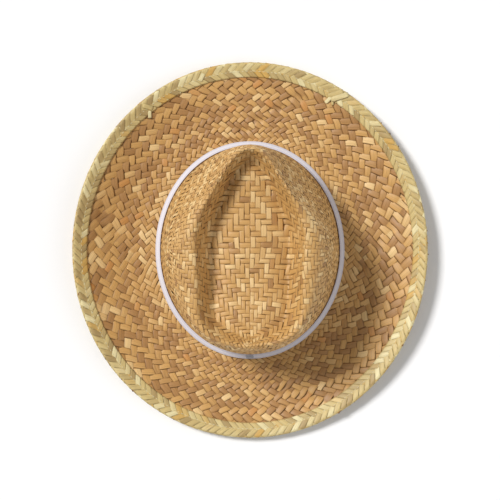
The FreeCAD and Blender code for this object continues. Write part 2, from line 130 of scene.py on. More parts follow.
def length(name, millimetres, description):
    """A length setting, given in millimetres."""
    return bpy.props.FloatProperty(name=name, description=description, default=millimetres * MM,
                                   min=0.0, subtype="DISTANCE", unit="LENGTH", precision=5)


def colour(name, code, description):
    """A colour setting, given as an sRGB hex value."""
    return bpy.props.FloatVectorProperty(name=name, description=description, size=4,
                                         default=linear(code), subtype="COLOR", min=0.0, max=1.0)


def number(name, value, description):
    """A plain number setting."""
    return bpy.props.FloatProperty(name=name, description=description, default=value)


class HatForm(bpy.types.PropertyGroup):
    """The hat's outer shape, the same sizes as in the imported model."""
    crown_length: length("Crown length", 203.4, "Crown at its foot, front to back")
    crown_width: length("Crown width", 175.0, "Crown at its foot, side to side")
    brim_front: length("Brim front", 85.2, "Brim past the crown at front and back")
    brim_side: length("Brim side", 88.0, "Brim past the crown at the sides")
    straw_thick: length("Straw thickness", 2.0, "Thickness of the whole plait")
    crown_height: length("Crown height", 112.0, "Height of the side ridges")
    ridge_tilt: length("Ridge tilt", 4.0, "How much higher the ridge is in front")
    ridge_front: length("Ridge front", 94.4, "Front tip of the ridge, from the middle")
    ridge_back: length("Ridge back", 89.0, "Back of the ridge, from the middle")
    ridge_width: length("Ridge width", 106.0, "Ridge to ridge, side to side")
    dent_depth: length("Dent depth", 28.0, "Depth of the teardrop dent")
    dent_inset: length("Dent inset", 17.0, "Run of the dent's wall at the sides")
    dent_front: length("Dent front", 12.0, "Run of the dent's wall at its front tip")
    dent_back: length("Dent back", 11.0, "Run of the dent's wall at its back")
    dent_ends: length("Dent ends", 10.0, "How much shallower the dent is at front and back")
    dome_rise: length("Dome rise", 5.0, "Rise of the dent's floor in its middle")
    base_fillet: length("Base fillet", 9.0, "Turn from crown to brim, outside")
    land_width: length("Land width", 14.0, "Flat ring of the brim around the crown")
    rise_side: length("Rise side", 20.0, "Rise of the brim's edge at the sides")
    rise_end: length("Rise end", 8.0, "Rise of the brim's edge at front and back")
    fold_room: length("Fold room", 3.6, "From the straw's cut edge to the binding's outside")


class PlaitSettings(bpy.types.PropertyGroup):
    """The straw body: two families of strands, woven over two and under two."""
    strands: bpy.props.IntProperty(
        name="Strands", description="Strands of each family that reach the brim's edge",
        default=100, min=12, step=8)
    pitch: length("Pitch", 5.1, "Strand to strand in the middle of the crown")
    squeeze_side: number("Side squeeze", 1.2, "How closely the brim is packed at the sides")
    squeeze_end: number("End squeeze", 1.5, "How closely the brim is packed at front and back")
    thickness: length("Straw thickness", 0.62, "One split straw")
    wave: length("Wave", 0.55, "How far a strand goes up and down as it weaves")
    pale: colour("Pale straw", "#E6C287", "Straw split from the inner, palest stalk")
    golden: colour("Golden straw", "#CD9F5E", "The commonest straw")
    tan: colour("Tan straw", "#AC7F4B", "Straw that was greyed by the weather")
    amber: colour("Amber straw", "#C88F4E", "The few ripest straws, orange brown")
    crevice: colour("Crevice", "#6B4524", "Dust and shade where straws cross")
    wander: length("Wander", 1.9, "How far strands stray together on the brim")
    seed: bpy.props.IntProperty(name="Seed", description="Start of the random draws", default=7)


class BindingSettings(bpy.types.PropertyGroup):
    """The narrow herringbone plait that is folded over the brim's edge."""
    strips: bpy.props.IntProperty(
        name="Strips", description="Strips of each slant around the edge", default=148, min=24)
    top: length("Top width", 10.6, "Reach on to the upper side")
    under: length("Under width", 9.6, "Reach on to the under side")
    lift: length("Lift", 0.75, "Middle of the binding above the straw's skin")
    fold_side: length("Fold reach", 2.9, "Middle of the fold past the straw's cut edge")
    fold_up: length("Fold height", 1.75, "Half the height of the fold's middle")
    thickness: length("Strip thickness", 0.32, "One strip of the binding")
    wave: length("Wave", 0.13, "How far a strip goes up and down as it weaves")
    pale: colour("Pale reed", "#E8DAA8", "The whitest strips")
    green: colour("Green reed", "#CFB87C", "The commonest strips, a greenish yellow")
    gold: colour("Gold reed", "#D0A75A", "The ripest strips")
    olive: colour("Olive reed", "#B09663", "The darkest strips")
    shade: colour("Shade", "#6E5C34", "Dust and shade where strips cross")
    seam: length("Seam", 4.9, "From the binding's inner edge to its line of stitches")
    stitch: length("Stitch", 3.1, "One visible stitch")
    stitch_pitch: length("Stitch pitch", 4.3, "From one stitch to the next")
    thread: length("Thread", 0.5, "Thickness of the sewing thread")
    lap_turn: bpy.props.FloatProperty(
        name="Lap", description="Where the binding's two ends lap", default=math.radians(237.0),
        subtype="ANGLE", unit="ROTATION")


class TrimSettings(bpy.types.PropertyGroup):
    """The elastic hat band, the sweatband and the sewing thread."""
    elastic_width: length("Elastic width", 6.0, "The elastic's own width")
    elastic_thick: length("Elastic thickness", 1.2, "The elastic's thickness")
    elastic_tilt: bpy.props.FloatProperty(
        name="Elastic slope", description="Slope of the elastic, its outer edge lower",
        default=math.radians(38.0), subtype="ANGLE", unit="ROTATION")
    elastic_white: colour("Elastic", "#E3E0E7", "White knitted elastic")
    elastic_shade: colour("Elastic shade", "#CDC9D4", "Between the elastic's ribs")
    tack_blue: colour("Tack thread", "#CDD0DA", "Thread of the elastic's sewn joint")
    thread_pale: colour("Thread", "#E6DDB8", "Sewing thread of the binding")
    sweat_cloth: colour("Sweatband", "#D9CDB4", "Cotton tape of the sweatband")
    sweat_shade: colour("Sweatband shade", "#A8987A", "Between the tape's ribs")
    sweat_high: length("Sweatband height", 28.0, "Height of the sweatband")
    sweat_low: length("Sweatband foot", 3.0, "Lower edge above the resting plane")
    sweat_thick: length("Sweatband thickness", 1.0, "Thickness of the sweatband")
    sweat_depth: length("Sweatband depth", 2.3, "Sweatband's outside below the straw's skin")


class StageSettings(bpy.types.PropertyGroup):
    """Floor, light and camera."""
    camera_height: length("Camera height", 1600.0, "Camera above the resting plane")
    field: length("Field", 500.0, "Width of the resting plane that the camera sees")
    sun_strength: number("Sun strength", 2.8, "Strength of the main light")
    sun_softness: bpy.props.FloatProperty(
        name="Sun softness", description="Width of the main light in the sky",
        default=math.radians(15.0), subtype="ANGLE", unit="ROTATION")
    fill_strength: number("Fill strength", 0.6, "Strength of the weak light from the far side")
    sky_strength: number("Sky strength", 0.35, "Strength of the even light from all round")
    floor: colour("Floor", "#F8F8F9", "Pale floor")


# ---- small helpers -----------------------------------------------------------------------

def unit(vectors):
    """The vectors of the last axis, scaled to length 1."""
    return vectors / np.linalg.norm(vectors, axis=-1, keepdims=True)


def step_sums(points):
    """Distance along each path from its first point, and the lengths of its steps."""
    steps = np.linalg.norm(np.diff(points, axis=-2), axis=-1)
    start = np.zeros((*steps.shape[:-1], 1))
    return np.concatenate([start, np.cumsum(steps, -1)], -1), steps


def corners_of(*pairs):
    """UV corners of many faces from one (u, v) pair of arrays for each corner."""
    return np.stack([np.stack(pair, -1) for pair in pairs], -2)


# ---- nodes and meshes --------------------------------------------------------------------

def add_node(tree, kind, inputs=None, **settings):
    """Add one shader node, set its properties, and set or link its inputs."""
    node = tree.nodes.new("ShaderNode" + kind)
    for name, value in settings.items():
        setattr(node, name, value)
    for key, value in (inputs or {}).items():
        if isinstance(value, bpy.types.NodeSocket):
            tree.links.new(value, node.inputs[key])
        else:
            node.inputs[key].default_value = value
    return node


def new_material(name):
    """An empty material and its tree."""
    material = bpy.data.materials.new(name)
    material.use_nodes = True
    material.node_tree.nodes.clear()
    return material, material.node_tree


def surface(tree, inputs):
    """End a material with a principled shader that has the given inputs."""
    shader = add_node(tree, "BsdfPrincipled", inputs)
    add_node(tree, "OutputMaterial", {"Surface": shader.outputs["BSDF"]})


def uv_place(tree, name):
    """Places on a UV map."""
    return add_node(tree, "UVMap", uv_map=name).outputs["UV"]


def object_place(tree):
    """Places in the object's own frame."""
    return add_node(tree, "TexCoord").outputs["Object"]


def mapped(tree, place, **inputs):
    """Places stretched or turned."""
    return add_node(tree, "Mapping", {"Vector": place, **inputs}).outputs["Vector"]


def attribute(tree, name):
    """A value kept on the mesh's points."""
    return add_node(tree, "Attribute", attribute_name=name).outputs["Fac"]


def noise(tree, place, scale, **inputs):
    """Noise from 0 to 1."""
    return add_node(tree, "TexNoise", {"Vector": place, "Scale": scale, **inputs}).outputs["Fac"]


def waves(tree, place, scale, **inputs):
    """Parallel waves from 0 to 1."""
    return add_node(tree, "TexWave", {"Vector": place, "Scale": scale, **inputs}).outputs["Fac"]


def spread(tree, value, low, high, start=0.0, end=1.0):
    """A value from start to end carried over to low to high, and held there."""
    return add_node(tree, "MapRange", {"Value": value, "From Min": start, "From Max": end,
                                       "To Min": low, "To Max": high}).outputs["Result"]


def weighted(tree, value, weight, base):
    """A value times its weight, on top of a base."""
    return add_node(tree, "Math", {0: value, 1: weight, 2: base},
                    operation="MULTIPLY_ADD").outputs[0]


def scaled(tree, shade, factor):
    """A colour times a number."""
    return add_node(tree, "VectorMath", {0: shade, "Scale": factor},
                    operation="SCALE").outputs["Vector"]


def blended(tree, factor, first, second):
    """One colour at factor 0, the other at 1."""
    return add_node(tree, "Mix", {"Factor": factor, "A": first, "B": second},
                    data_type="RGBA", blend_type="MIX").outputs["Result"]


def bumped(tree, height, strength, distance):
    """A normal that follows a height, with the distance in millimetres."""
    return add_node(tree, "Bump", {"Height": height, "Strength": strength,
                                   "Distance": distance * MM}).outputs["Normal"]


def colour_ramp(tree, fac, stops):
    """A ramp through (place, colour) stops."""
    ramp = add_node(tree, "ValToRGB", {"Fac": fac})
    for extra in range(len(stops) - 2):
        ramp.color_ramp.elements.new(0.5)
    for element, (place, shade) in zip(ramp.color_ramp.elements, stops):
        element.position = place
        element.color = shade
    return ramp.outputs["Color"]


def make_piece(name, points, corners, starts, maps=None, values=None):
    """A smooth mesh object from corner and face-start arrays, with UV maps and point values."""
    mesh = bpy.data.meshes.new(name)
    mesh.vertices.add(len(points))
    mesh.vertices.foreach_set("co", np.ascontiguousarray(points, np.float32).ravel())
    mesh.loops.add(len(corners))
    mesh.loops.foreach_set("vertex_index", corners.astype(np.int32))
    mesh.polygons.add(len(starts))
    mesh.polygons.foreach_set("loop_start", starts.astype(np.int32))
    mesh.update(calc_edges=True)
    mesh.polygons.foreach_set("use_smooth", np.ones(len(starts), bool))
    for key, places in (maps or {}).items():
        layer = mesh.uv_layers.new(name=key)
        layer.data.foreach_set("uv", np.ascontiguousarray(places, np.float32).ravel())
    for key, column in (values or {}).items():
        layer = mesh.attributes.new(key, "FLOAT", "POINT")
        layer.data.foreach_set("value", np.ascontiguousarray(column, np.float32).ravel())
    mesh.validate()
    piece = bpy.data.objects.new(name, mesh)
    bpy.context.scene.collection.objects.link(piece)
    return piece


def closed_grid(name, points, values=None):
    """A surface closed both ways, a torus, from points[row, column]: each face joins a point
    to the next in its row and in its column, and the last to the first. Its UV map counts
    metres along the columns and across the rows."""
    rows, columns = points.shape[:2]
    row, column = np.meshgrid(np.arange(rows), np.arange(columns), indexing="ij")
    ahead = [(row, column), (row, column + 1), (row + 1, column + 1), (row + 1, column)]
    corners = np.stack([(r % rows) * columns + c % columns for r, c in ahead], -1)
    along = np.linalg.norm(np.roll(points, -1, 1) - points, axis=-1).mean()
    across = np.linalg.norm(np.roll(points, -1, 0) - points, axis=-1).mean()
    places = corners_of(*((c * along, r * across) for r, c in ahead))
    return make_piece(name, points.reshape(-1, 3), corners.ravel(),
                      np.arange(rows * columns) * 4, {"cloth": places.reshape(-1, 2)}, values)


def strips(name, centre, normal, width, thick, first=None, last=None, section=STRAW_SECTION,
           tilt=None, shear=None, values=None):
    """Many open strips in one mesh. Strip s follows centre[s, first[s]:last[s]], or the whole
    of centre[s] when no ends are given. Its section is scaled by width and thick and laid out
    on the two directions across the path: side = normal x along, and the normal. Tilt lifts
    one edge of a section, and shear moves it ahead, which cuts the ends aslant. Both ends are
    capped."""
    if first is None:
        first, last = np.zeros(len(centre), int), np.full(len(centre), centre.shape[1])
    along = unit(np.gradient(centre, axis=1))
    up = unit(normal - along * (normal * along).sum(-1, keepdims=True))
    side = np.cross(up, along)
    across = section[:, 0] * width[..., None]
    lift = section[:, 1] * thick[..., None]
    if tilt is not None:
        lift = lift + across * tilt[..., None]
    points = (centre[:, :, None] + side[:, :, None] * across[..., None]
              + up[:, :, None] * lift[..., None])
    if shear is not None:
        points += along[:, :, None] * (across * shear[:, None, None])[..., None]
    step = np.arange(centre.shape[1])
    kept = (step >= first[:, None]) & (step < last[:, None])
    place = np.cumsum(kept.ravel()).reshape(kept.shape) - 1
    around = len(section)
    strip_id, step_id = np.nonzero(kept[:, :-1] & kept[:, 1:])
    here, ahead = place[strip_id, step_id], place[strip_id, step_id + 1]
    corner = np.arange(around)
    following = (corner + 1) % around
    quads = np.stack([here[:, None] * around + corner, ahead[:, None] * around + corner,
                      ahead[:, None] * around + following, here[:, None] * around + following], -1)
    present = last > first + 1
    starts_at = place[present, first[present]]
    ends_at = place[present, last[present] - 1]
    caps = np.concatenate([starts_at[:, None] * around + corner,
                           ends_at[:, None] * around + corner[::-1]])
    maps = strip_maps(centre, width, strip_id, step_id, around, len(caps))
    corners = np.concatenate([quads.ravel(), caps.ravel()])
    starts = np.concatenate([np.arange(quads.size // 4) * 4,
                             quads.size + np.arange(len(caps)) * around])
    spread = {key: np.repeat(column[kept], around) for key, column in (values or {}).items()}
    spread["edge"] = np.tile(np.abs(section[:, 0]) * 2.0, int(kept.sum()))
    return make_piece(name, points[kept].reshape(-1, 3), corners, starts, maps, spread)


def strip_maps(centre, width, strip_id, step_id, around, caps):
    """Two UV maps for strips. "straw" counts metres along and around a strip. The other packs
    every step of every strip into rows of equal length, one below the other, and the end caps
    into a narrow row at the bottom."""
    run, steps = step_sums(centre)
    run += np.arange(len(run))[:, None] * GRAIN_SHIFT
    count = len(strip_id)
    girth = GIRTH_SHARE * float(width.mean())
    step_run = float(steps[strip_id, step_id].mean())
    per_row = max(1, int(math.sqrt(count * girth / step_run)))
    rows = -(-count // per_row)
    foot, margin = 0.02, 0.05
    order = np.arange(count)
    left = (order % per_row) / per_row
    bottom = foot + (1.0 - foot) * (order // per_row) / rows
    share = np.arange(around + 1) / around
    height = (1.0 - foot) / rows
    low = bottom[:, None] + height * (margin + (1 - 2 * margin) * share[None, :-1])
    high = bottom[:, None] + height * (margin + (1 - 2 * margin) * share[None, 1:])
    start, end = left[:, None] + 0 * low, left[:, None] + 1.0 / per_row + 0 * low
    atlas = corners_of((start, low), (end, low), (end, high), (start, high))
    here = run[strip_id, step_id][:, None] + 0 * low
    ahead = run[strip_id, step_id + 1][:, None] + 0 * low
    under, over = share[None, :-1] * girth + 0 * low, share[None, 1:] * girth + 0 * low
    grain = corners_of((here, under), (ahead, under), (ahead, over), (here, over))
    angle = np.arange(around) * FULL_TURN / around
    radius = min(0.4 / max(caps, 1), 0.4 * foot)
    middle = (np.arange(caps) + 0.5) / max(caps, 1)
    ends = np.stack([middle[:, None] + radius * np.cos(angle),
                     0.5 * foot + radius * np.sin(angle) + 0 * middle[:, None]], -1)
    return {"OFBake": np.concatenate([atlas.reshape(-1, 2), ends.reshape(-1, 2)]),
            "straw": np.concatenate([grain.reshape(-1, 2), ends.reshape(-1, 2) * girth])}


def finish_piece(piece, material, body, slot, *nodes):
    """Give a piece its material and its body, and hide the model's nodes that it stands for. The
    slot is not used.
    """
    piece.data.materials.append(material)
    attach(piece, body)
    if nodes:
        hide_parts(*nodes)
    return piece


# ---- the hat's surface -------------------------------------------------------------------

def smooth_step(low, high, value):
    """0 below low, 1 above high, and 3s^2 - 2s^3 between."""
    share = np.clip((value - low) / (high - low), 0.0, 1.0)
    return share * share * (3.0 - 2.0 * share)


def oval(form, reach_side, reach_end, height, turn):
    """An ellipse about the crown's foot: half axes of the crown plus a reach each."""
    return np.stack([(form.crown_width / 2 + reach_side) * np.cos(turn),
                     (form.crown_length / 2 + reach_end) * np.sin(turn),
                     height + 0 * turn], -1)


def teardrop(half_width, front, back, height, turn):
    """An ellipse whose front half is narrowed by a smooth step towards its tip, and whose back
    half is widened by the cube of the sine."""
    pinch = PINCH_SHARE * smooth_step(PINCH_START, PINCH_END, -np.sin(turn))
    blunt = BLUNT_SHARE * np.maximum(np.sin(turn), 0.0) ** 3
    return np.stack([half_width * np.cos(turn) * (1.0 - pinch + blunt),
                     (back - front) / 2 + (back + front) / 2 * np.sin(turn),
                     height + 0 * turn], -1)


def wall_ring(form, ridge, climb, turn):
    """A ring of the crown's wall: a superellipse from foot to ridge, which turns into an
    S-shaped hollow on the two pinched faces of the front."""
    base = oval(form, 0, 0, form.straw_thick + form.base_fillet, turn)
    upward = math.sin(climb) ** (2.0 / FULLNESS)
    full = 1.0 - math.cos(climb) ** (2.0 / FULLNESS)
    hollow = (smooth_step(PINCH_FOOT, PINCH_HEAD, upward)
              / smooth_step(PINCH_FOOT, PINCH_HEAD, 1.0))
    pinch = np.where(np.sin(turn) < 0, np.sin(2 * turn) ** 2, 0.0)
    inward = (full + (hollow - full) * pinch)[:, None]
    ring = base + (ridge - base) * inward
    ring[:, 2] = base[:, 2] + (ridge[:, 2] - base[:, 2]) * upward
    return ring


def crown_rings(form, turn):
    """Rings of the crown from the middle of the dent to the wall's foot."""
    ridge = teardrop(form.ridge_width / 2, form.ridge_front, form.ridge_back,
                     form.crown_height - form.ridge_tilt * np.sin(turn), turn)
    floor_front, floor_back = form.ridge_front - form.dent_front, form.ridge_back - form.dent_back
    level, risen = form.crown_height - form.dent_depth, form.dent_ends * np.sin(turn) ** 2
    floor = teardrop(form.ridge_width / 2 - form.dent_inset, floor_front, floor_back,
                     level + risen, turn)
    middle = np.array([0.0, (floor_back - floor_front) / 2, level + form.dome_rise])
    rings = []
    for share in np.geomspace(0.008, 1.0, 70):
        ring = middle + (floor - middle) * share
        ring[:, 2] = (middle[2] - form.dome_rise * share ** 2
                      + risen * smooth_step(CAP_SHARE, 1.0, share))
        rings.append(ring)
    for share in np.linspace(1.0, 0.0, 40)[1:]:
        ring = ridge + (floor - ridge) * share
        ring[:, 2] = ridge[:, 2] + (floor[:, 2] - ridge[:, 2]) * smooth_step(0.0, 1.0, share)
        rings.append(ring)
    for climb in np.linspace(math.pi / 2, 0.0, 90)[1:]:
        rings.append(wall_ring(form, ridge, climb, turn))
    return np.array(rings), middle[1]


def brim_span(form):
    """Reach of the brim's dish at the sides and at the ends, from the land to the cut edge."""
    start = form.base_fillet + form.land_width
    return start, form.brim_side - form.fold_room, form.brim_front - form.fold_room


def brim_point(form, share, turn):
    """The brim's upper side: plain reach, and a rise that grows with the square of it."""
    start, side, end = brim_span(form)
    rise = form.rise_end + (form.rise_side - form.rise_end) * np.cos(turn) ** 2
    return oval(form, start + (side - start) * share, start + (end - start) * share,
                form.straw_thick + rise * share ** 2, turn)


def brim_rings(form, turn):
    """Rings from the crown's foot over the fillet and the flat land to past the cut edge, and
    the number of the ring at the cut edge."""
    rings = []
    for angle in np.linspace(0.0, math.pi / 2, 16)[1:]:
        reach = form.base_fillet * (1.0 - math.cos(angle))
        height = form.straw_thick + form.base_fillet * (1.0 - math.sin(angle))
        rings.append(oval(form, reach, reach, height, turn))
    for share in np.linspace(0.0, 1.0, 10)[1:]:
        reach = form.base_fillet + form.land_width * share
        rings.append(oval(form, reach, reach, form.straw_thick, turn))
    for share in np.linspace(0.0, 1.1, 67)[1:]:
        rings.append(brim_point(form, share, turn))
    return np.array(rings), len(rings) - 1 - PAST_EDGE


def plan_ovals(rings, form, middle):
    """Re-draw crown rings over plain plan angles. Each point lies on one oval of a family that
    goes from circles in the middle to the crown's foot. Returns the points over even angles
    and, for each, its oval's mean radius."""
    mean = (form.crown_width + form.crown_length) / 4
    grow_x, grow_y = form.crown_width / 2 - mean, form.crown_length / 2 - mean
    x, y = rings[..., 0], rings[..., 1]
    share = np.hypot(x, y - middle) / mean
    for attempt in range(30):
        across = x / (mean + grow_x * share)
        along = (y - middle * (1.0 - share)) / (mean + grow_y * share)
        share = 0.5 * share + 0.5 * np.hypot(across, along)
    angle = np.arctan2(along, across)
    even = np.arange(COLUMNS) * FULL_TURN / COLUMNS
    points = np.zeros((len(rings), COLUMNS, 3))
    for ring in range(len(rings)):
        size = np.interp(even, angle[ring], share[ring], period=FULL_TURN)
        points[ring, :, 2] = np.interp(even, angle[ring], rings[ring, :, 2], period=FULL_TURN)
        points[ring, :, 0] = size * (mean + grow_x * size) * np.cos(even)
        points[ring, :, 1] = middle * (1.0 - size) + size * (mean + grow_y * size) * np.sin(even)
        share[ring, :COLUMNS] = size
    return points, share[:, :COLUMNS] * mean


def blur(table, radius, axis):
    """A running average with a cosine window, closed around the turn, held at the ends."""
    window = np.hanning(2 * radius + 3)[1:-1]
    window /= window.sum()
    mode = "wrap" if axis == 1 else "edge"
    widths = [(0, 0)] * table.ndim
    widths[axis] = (radius, radius)
    padded = np.pad(table, widths, mode=mode)
    size = table.shape[axis]
    return sum(weight * np.take(padded, np.arange(size) + at, axis)
               for at, weight in enumerate(window))


@functools.lru_cache(maxsize=1)
def hat_surface():
    """The hat's outside as a table over the flat plait it was blocked from: positions and
    normals by direction and by the logarithm of flat radius. The flat radius grows so that the
    weave keeps its squareness: d(ln radius) = squeeze x step along the surface / ring radius."""
    form = bpy.context.scene.hat_form
    plait = bpy.context.scene.hat_plait
    fine = np.arange(1440) * FULL_TURN / 1440
    even = np.arange(COLUMNS) * FULL_TURN / COLUMNS
    crown, middle = crown_rings(form, fine)
    crown, crown_radius = plan_ovals(crown, form, middle)
    brim, cut = brim_rings(form, even)
    brim_radius = np.hypot(brim[..., 0], brim[..., 1]).mean(1, keepdims=True) + np.zeros(COLUMNS)
    points = np.concatenate([crown, brim])
    radius = np.concatenate([crown_radius, brim_radius])
    step = np.linalg.norm(np.diff(points, axis=0), axis=-1)
    change = np.diff(radius, axis=0)
    change = np.where(np.abs(change) < 1e-7, 1e-7, change)
    weight = np.abs(np.log1p(change / radius[:-1]) / change)
    packed = plait.squeeze_side + (plait.squeeze_end - plait.squeeze_side) * np.sin(even) ** 2
    squeeze = 1.0 + (packed - 1.0) * smooth_step(
        0.0, 1.0, (np.arange(len(points) - 1) - len(crown)) / SQUEEZE_RINGS)[:, None]
    logs = np.log(radius[:1]) + np.concatenate(
        [np.zeros((1, COLUMNS)), np.cumsum(squeeze * step * weight, 0)])
    logs = np.log(np.exp(logs) + CORE)
    edge = logs[len(crown) + cut]
    centre = points[:1].mean(1, keepdims=True) + np.zeros((1, COLUMNS, 3))
    points = np.concatenate([centre, points])
    logs = np.concatenate([np.full((1, COLUMNS), math.log(CORE)), logs])
    low, high = math.log(CORE), float(logs[-1].max())
    level = np.linspace(low, high, LEVELS)
    table = np.zeros((LEVELS, COLUMNS, 3))
    for column in range(COLUMNS):
        for axis in range(3):
            table[:, column, axis] = np.interp(level, logs[:, column], points[:, column, axis])
    table = blur(blur(table, 4, 0), 3, 1)
    outward = np.gradient(table, axis=0)
    around = (np.roll(table, -1, 1) - np.roll(table, 1, 1)) / 2
    normal = np.cross(outward, around)
    normal[:4] = normal[4].mean(0)
    return table, unit(normal), (low, high), edge


def look_up(flat):
    """Outer position and normal at places of the flat plait, complex numbers, and how far
    inside the cut edge each lies, in levels of the table."""
    table, normal, (low, high), edge = hat_surface()
    level = (np.log(np.abs(flat) + CORE) - low) / (high - low) * (LEVELS - 1)
    column = (np.angle(flat) % FULL_TURN) / FULL_TURN * COLUMNS
    inside = (edge - low) / (high - low) * (LEVELS - 1)
    spare = np.interp(column, np.arange(COLUMNS), inside, period=COLUMNS) - level
    level = np.clip(level, 0, LEVELS - 1.001)
    row, left = level.astype(int), column.astype(int) % COLUMNS
    down, right = (level - row)[..., None], (column - np.floor(column))[..., None]
    beside = (left + 1) % COLUMNS

    def read(source):
        upper = source[row, left] * (1 - right) + source[row, beside] * right
        lower = source[row + 1, left] * (1 - right) + source[row + 1, beside] * right
        return upper * (1 - down) + lower * down
    return read(table), read(normal), spare


# ---- the plait ---------------------------------------------------------------------------

def trace_half_strands(quarter, pitch, reach):
    """Half of each strand on one side of the middle, in the flat plait. The plait starts as a
    square grid and, past four turning points on its axes, runs at half a right angle to the
    rim: a strand is a straight line of the map whose slope is (a^4 - z^4)^(1/4) / k, with a the
    turning points' radius and k cells per radius. The fourth-order step follows that slope,
    always by the root nearest to the last direction. Returns places and steps per cell."""
    scale = quarter / CONE_LENGTH
    cone = scale * pitch

    def slope(place, heading):
        root = (cone ** 4 - place ** 4) ** 0.25 / scale
        quarters = np.round(np.angle(heading / root) / (math.pi / 2))
        return root * 1j ** quarters

    def advance(place, heading, size):
        first = slope(place, heading)
        second = slope(place + first * size / 2, first)
        third = slope(place + second * size / 2, second)
        fourth = slope(place + third * size, third)
        return place + size * (first + 2 * second + 2 * third + fourth) / 6, fourth

    fine = 2 * HALF_FINE
    axis, starts = np.array([0j]), []
    for count in range(quarter * fine - fine // 2):
        axis, heading = advance(axis, np.array([1 + 0j]), 1.0 / fine)
        if (count + 1) % fine == fine // 2:
            starts.append(axis[0])
    place = np.array(starts)
    heading = np.full(quarter, 1j)
    places, slopes, counts = [], [], 0
    while np.abs(place).min() < reach or len(places) % SAMPLES:
        place, heading = advance(place, heading, 1.0 / fine)
        counts += 1
        if counts % (fine // SAMPLES) == fine // (2 * SAMPLES):
            places.append(place)
            slopes.append(slope(place, heading))
    return np.array(places).T, np.array(slopes).T


def crossing_signs(quarter, offset, heading, crossings):
    """+1 where a half strand passes over the strand it crosses, -1 where under. In the grid a
    lengthwise strand is over when the sum of the cell's two numbers, counted from the axes, is
    0 or 1 of every 4, with a break of two on the axes, which gives rings of herringbone. Past a
    seam the strand's grid turns by a right angle about the turning point it passed."""
    signs = np.zeros(crossings)
    start = offset * (1 if abs(heading.imag) > 0.5 else 1j)
    leftward = (start.conjugate() * heading).imag > 0
    turned = 1j if leftward else -1j
    for number in range(crossings):
        run = number + 0.5
        place, way = start + heading * run, heading
        seam = quarter + abs(offset)
        while run > seam:
            corner = way * quarter
            place = corner + (place - corner) * turned
            way = way * turned
            seam += 2 * quarter
        if run == seam:
            signs[number] = signs[number - 1]
            continue
        cell = (math.floor(abs(place.real)) + math.floor(abs(place.imag))
                + FLOAT_CELLS * (place.real < 0) + FLOAT_CELLS * (place.imag < 0))
        over = cell % (2 * FLOAT_CELLS) < FLOAT_CELLS
        signs[number] = 1 if over == (abs(way.imag) > 0.5) else -1
    return signs


def wave_heights(signs):
    """Height of each sample for rows of crossing signs, and each sample's float number: full
    height at a crossing, a share of it on the way to a crossing of the other kind, and a
    little more in the middle of a float."""
    strands, crossings = signs.shape
    height = np.repeat(signs, SAMPLES, 1).reshape(strands, crossings, SAMPLES)
    before = np.concatenate([signs[:, :1], signs[:, :-1]], 1)
    after = np.concatenate([signs[:, 1:], signs[:, -1:]], 1)
    height[..., 0] *= np.where(before == signs, FLOAT_RISE, SLOPE_SHARE)
    height[..., 2] *= np.where(after == signs, FLOAT_RISE, SLOPE_SHARE)
    changes = np.cumsum(before != signs, 1)
    return height.reshape(strands, -1), np.repeat(changes, SAMPLES, 1)


def plait_strands(plait):
    """All strands of one family side by side: flat places, steps and crossing signs."""
    quarter = plait.strands // 4
    reach = math.exp(hat_surface()[2][1]) * 1.02
    half, slopes = trace_half_strands(quarter, plait.pitch, reach)
    crossings = half.shape[1] // SAMPLES
    right = np.concatenate([half.conj()[:, ::-1], half], 1)
    right_slopes = np.concatenate([slopes.conj()[:, ::-1], slopes], 1)
    offsets = np.arange(quarter) + 0.5
    families = []
    for quarter_turn in (1, 1j):
        flat = np.concatenate([-right.conj()[::-1], right]) * quarter_turn
        steps = np.concatenate([-right_slopes.conj()[::-1], right_slopes]) * quarter_turn
        signs = np.array([np.concatenate([
            crossing_signs(quarter, offset, -1j * quarter_turn, crossings)[::-1],
            crossing_signs(quarter, offset, 1j * quarter_turn, crossings)])
            for offset in np.concatenate([-offsets[::-1], offsets])])
        families.append((flat, steps, signs))
    return families


def strayed(flat, plait):
    """The flat plait pushed about smoothly: three waves of different direction and length,
    which move neighbouring strands of both families together and grow towards the brim."""
    reach = plait.wander * (0.3 + 0.7 * smooth_step(*STRAY_GROWTH, np.abs(flat)))
    shift = 0
    for way, wavelength, phase in STRAY_WAVES:
        across = np.exp(1j * way)
        place = (flat * across.conjugate()).real
        shift = shift + across * 1j * np.sin(FULL_TURN * place / wavelength + phase)
        shift = shift + across * 0.6 * np.sin(FULL_TURN * place / wavelength + 2.1 * phase)
    return flat + shift * reach * 0.5


def seam_nearness(flat, plait):
    """1 on the four lines where the grid turns, fading with the square of the distance: the
    lines run outwards on the axes from the turning points."""
    corner = plait.strands // 4 / CONE_LENGTH * plait.pitch
    quarters = np.round(np.angle(flat) / (math.pi / 2))
    turned = flat * (-1j) ** quarters
    distance = np.abs(turned - np.maximum(turned.real, corner))
    return np.exp(-(distance / (SEAM_REACH * plait.pitch)) ** 2)


def kept_range(spare):
    """First and last kept sample of each strand: the unbroken stretch about its middle."""
    middle = spare.shape[1] // 2
    outside = spare < 0
    after = np.argmax(outside[:, middle:], 1) + middle
    before = middle - np.argmax(outside[:, :middle][:, ::-1], 1)
    return before, after


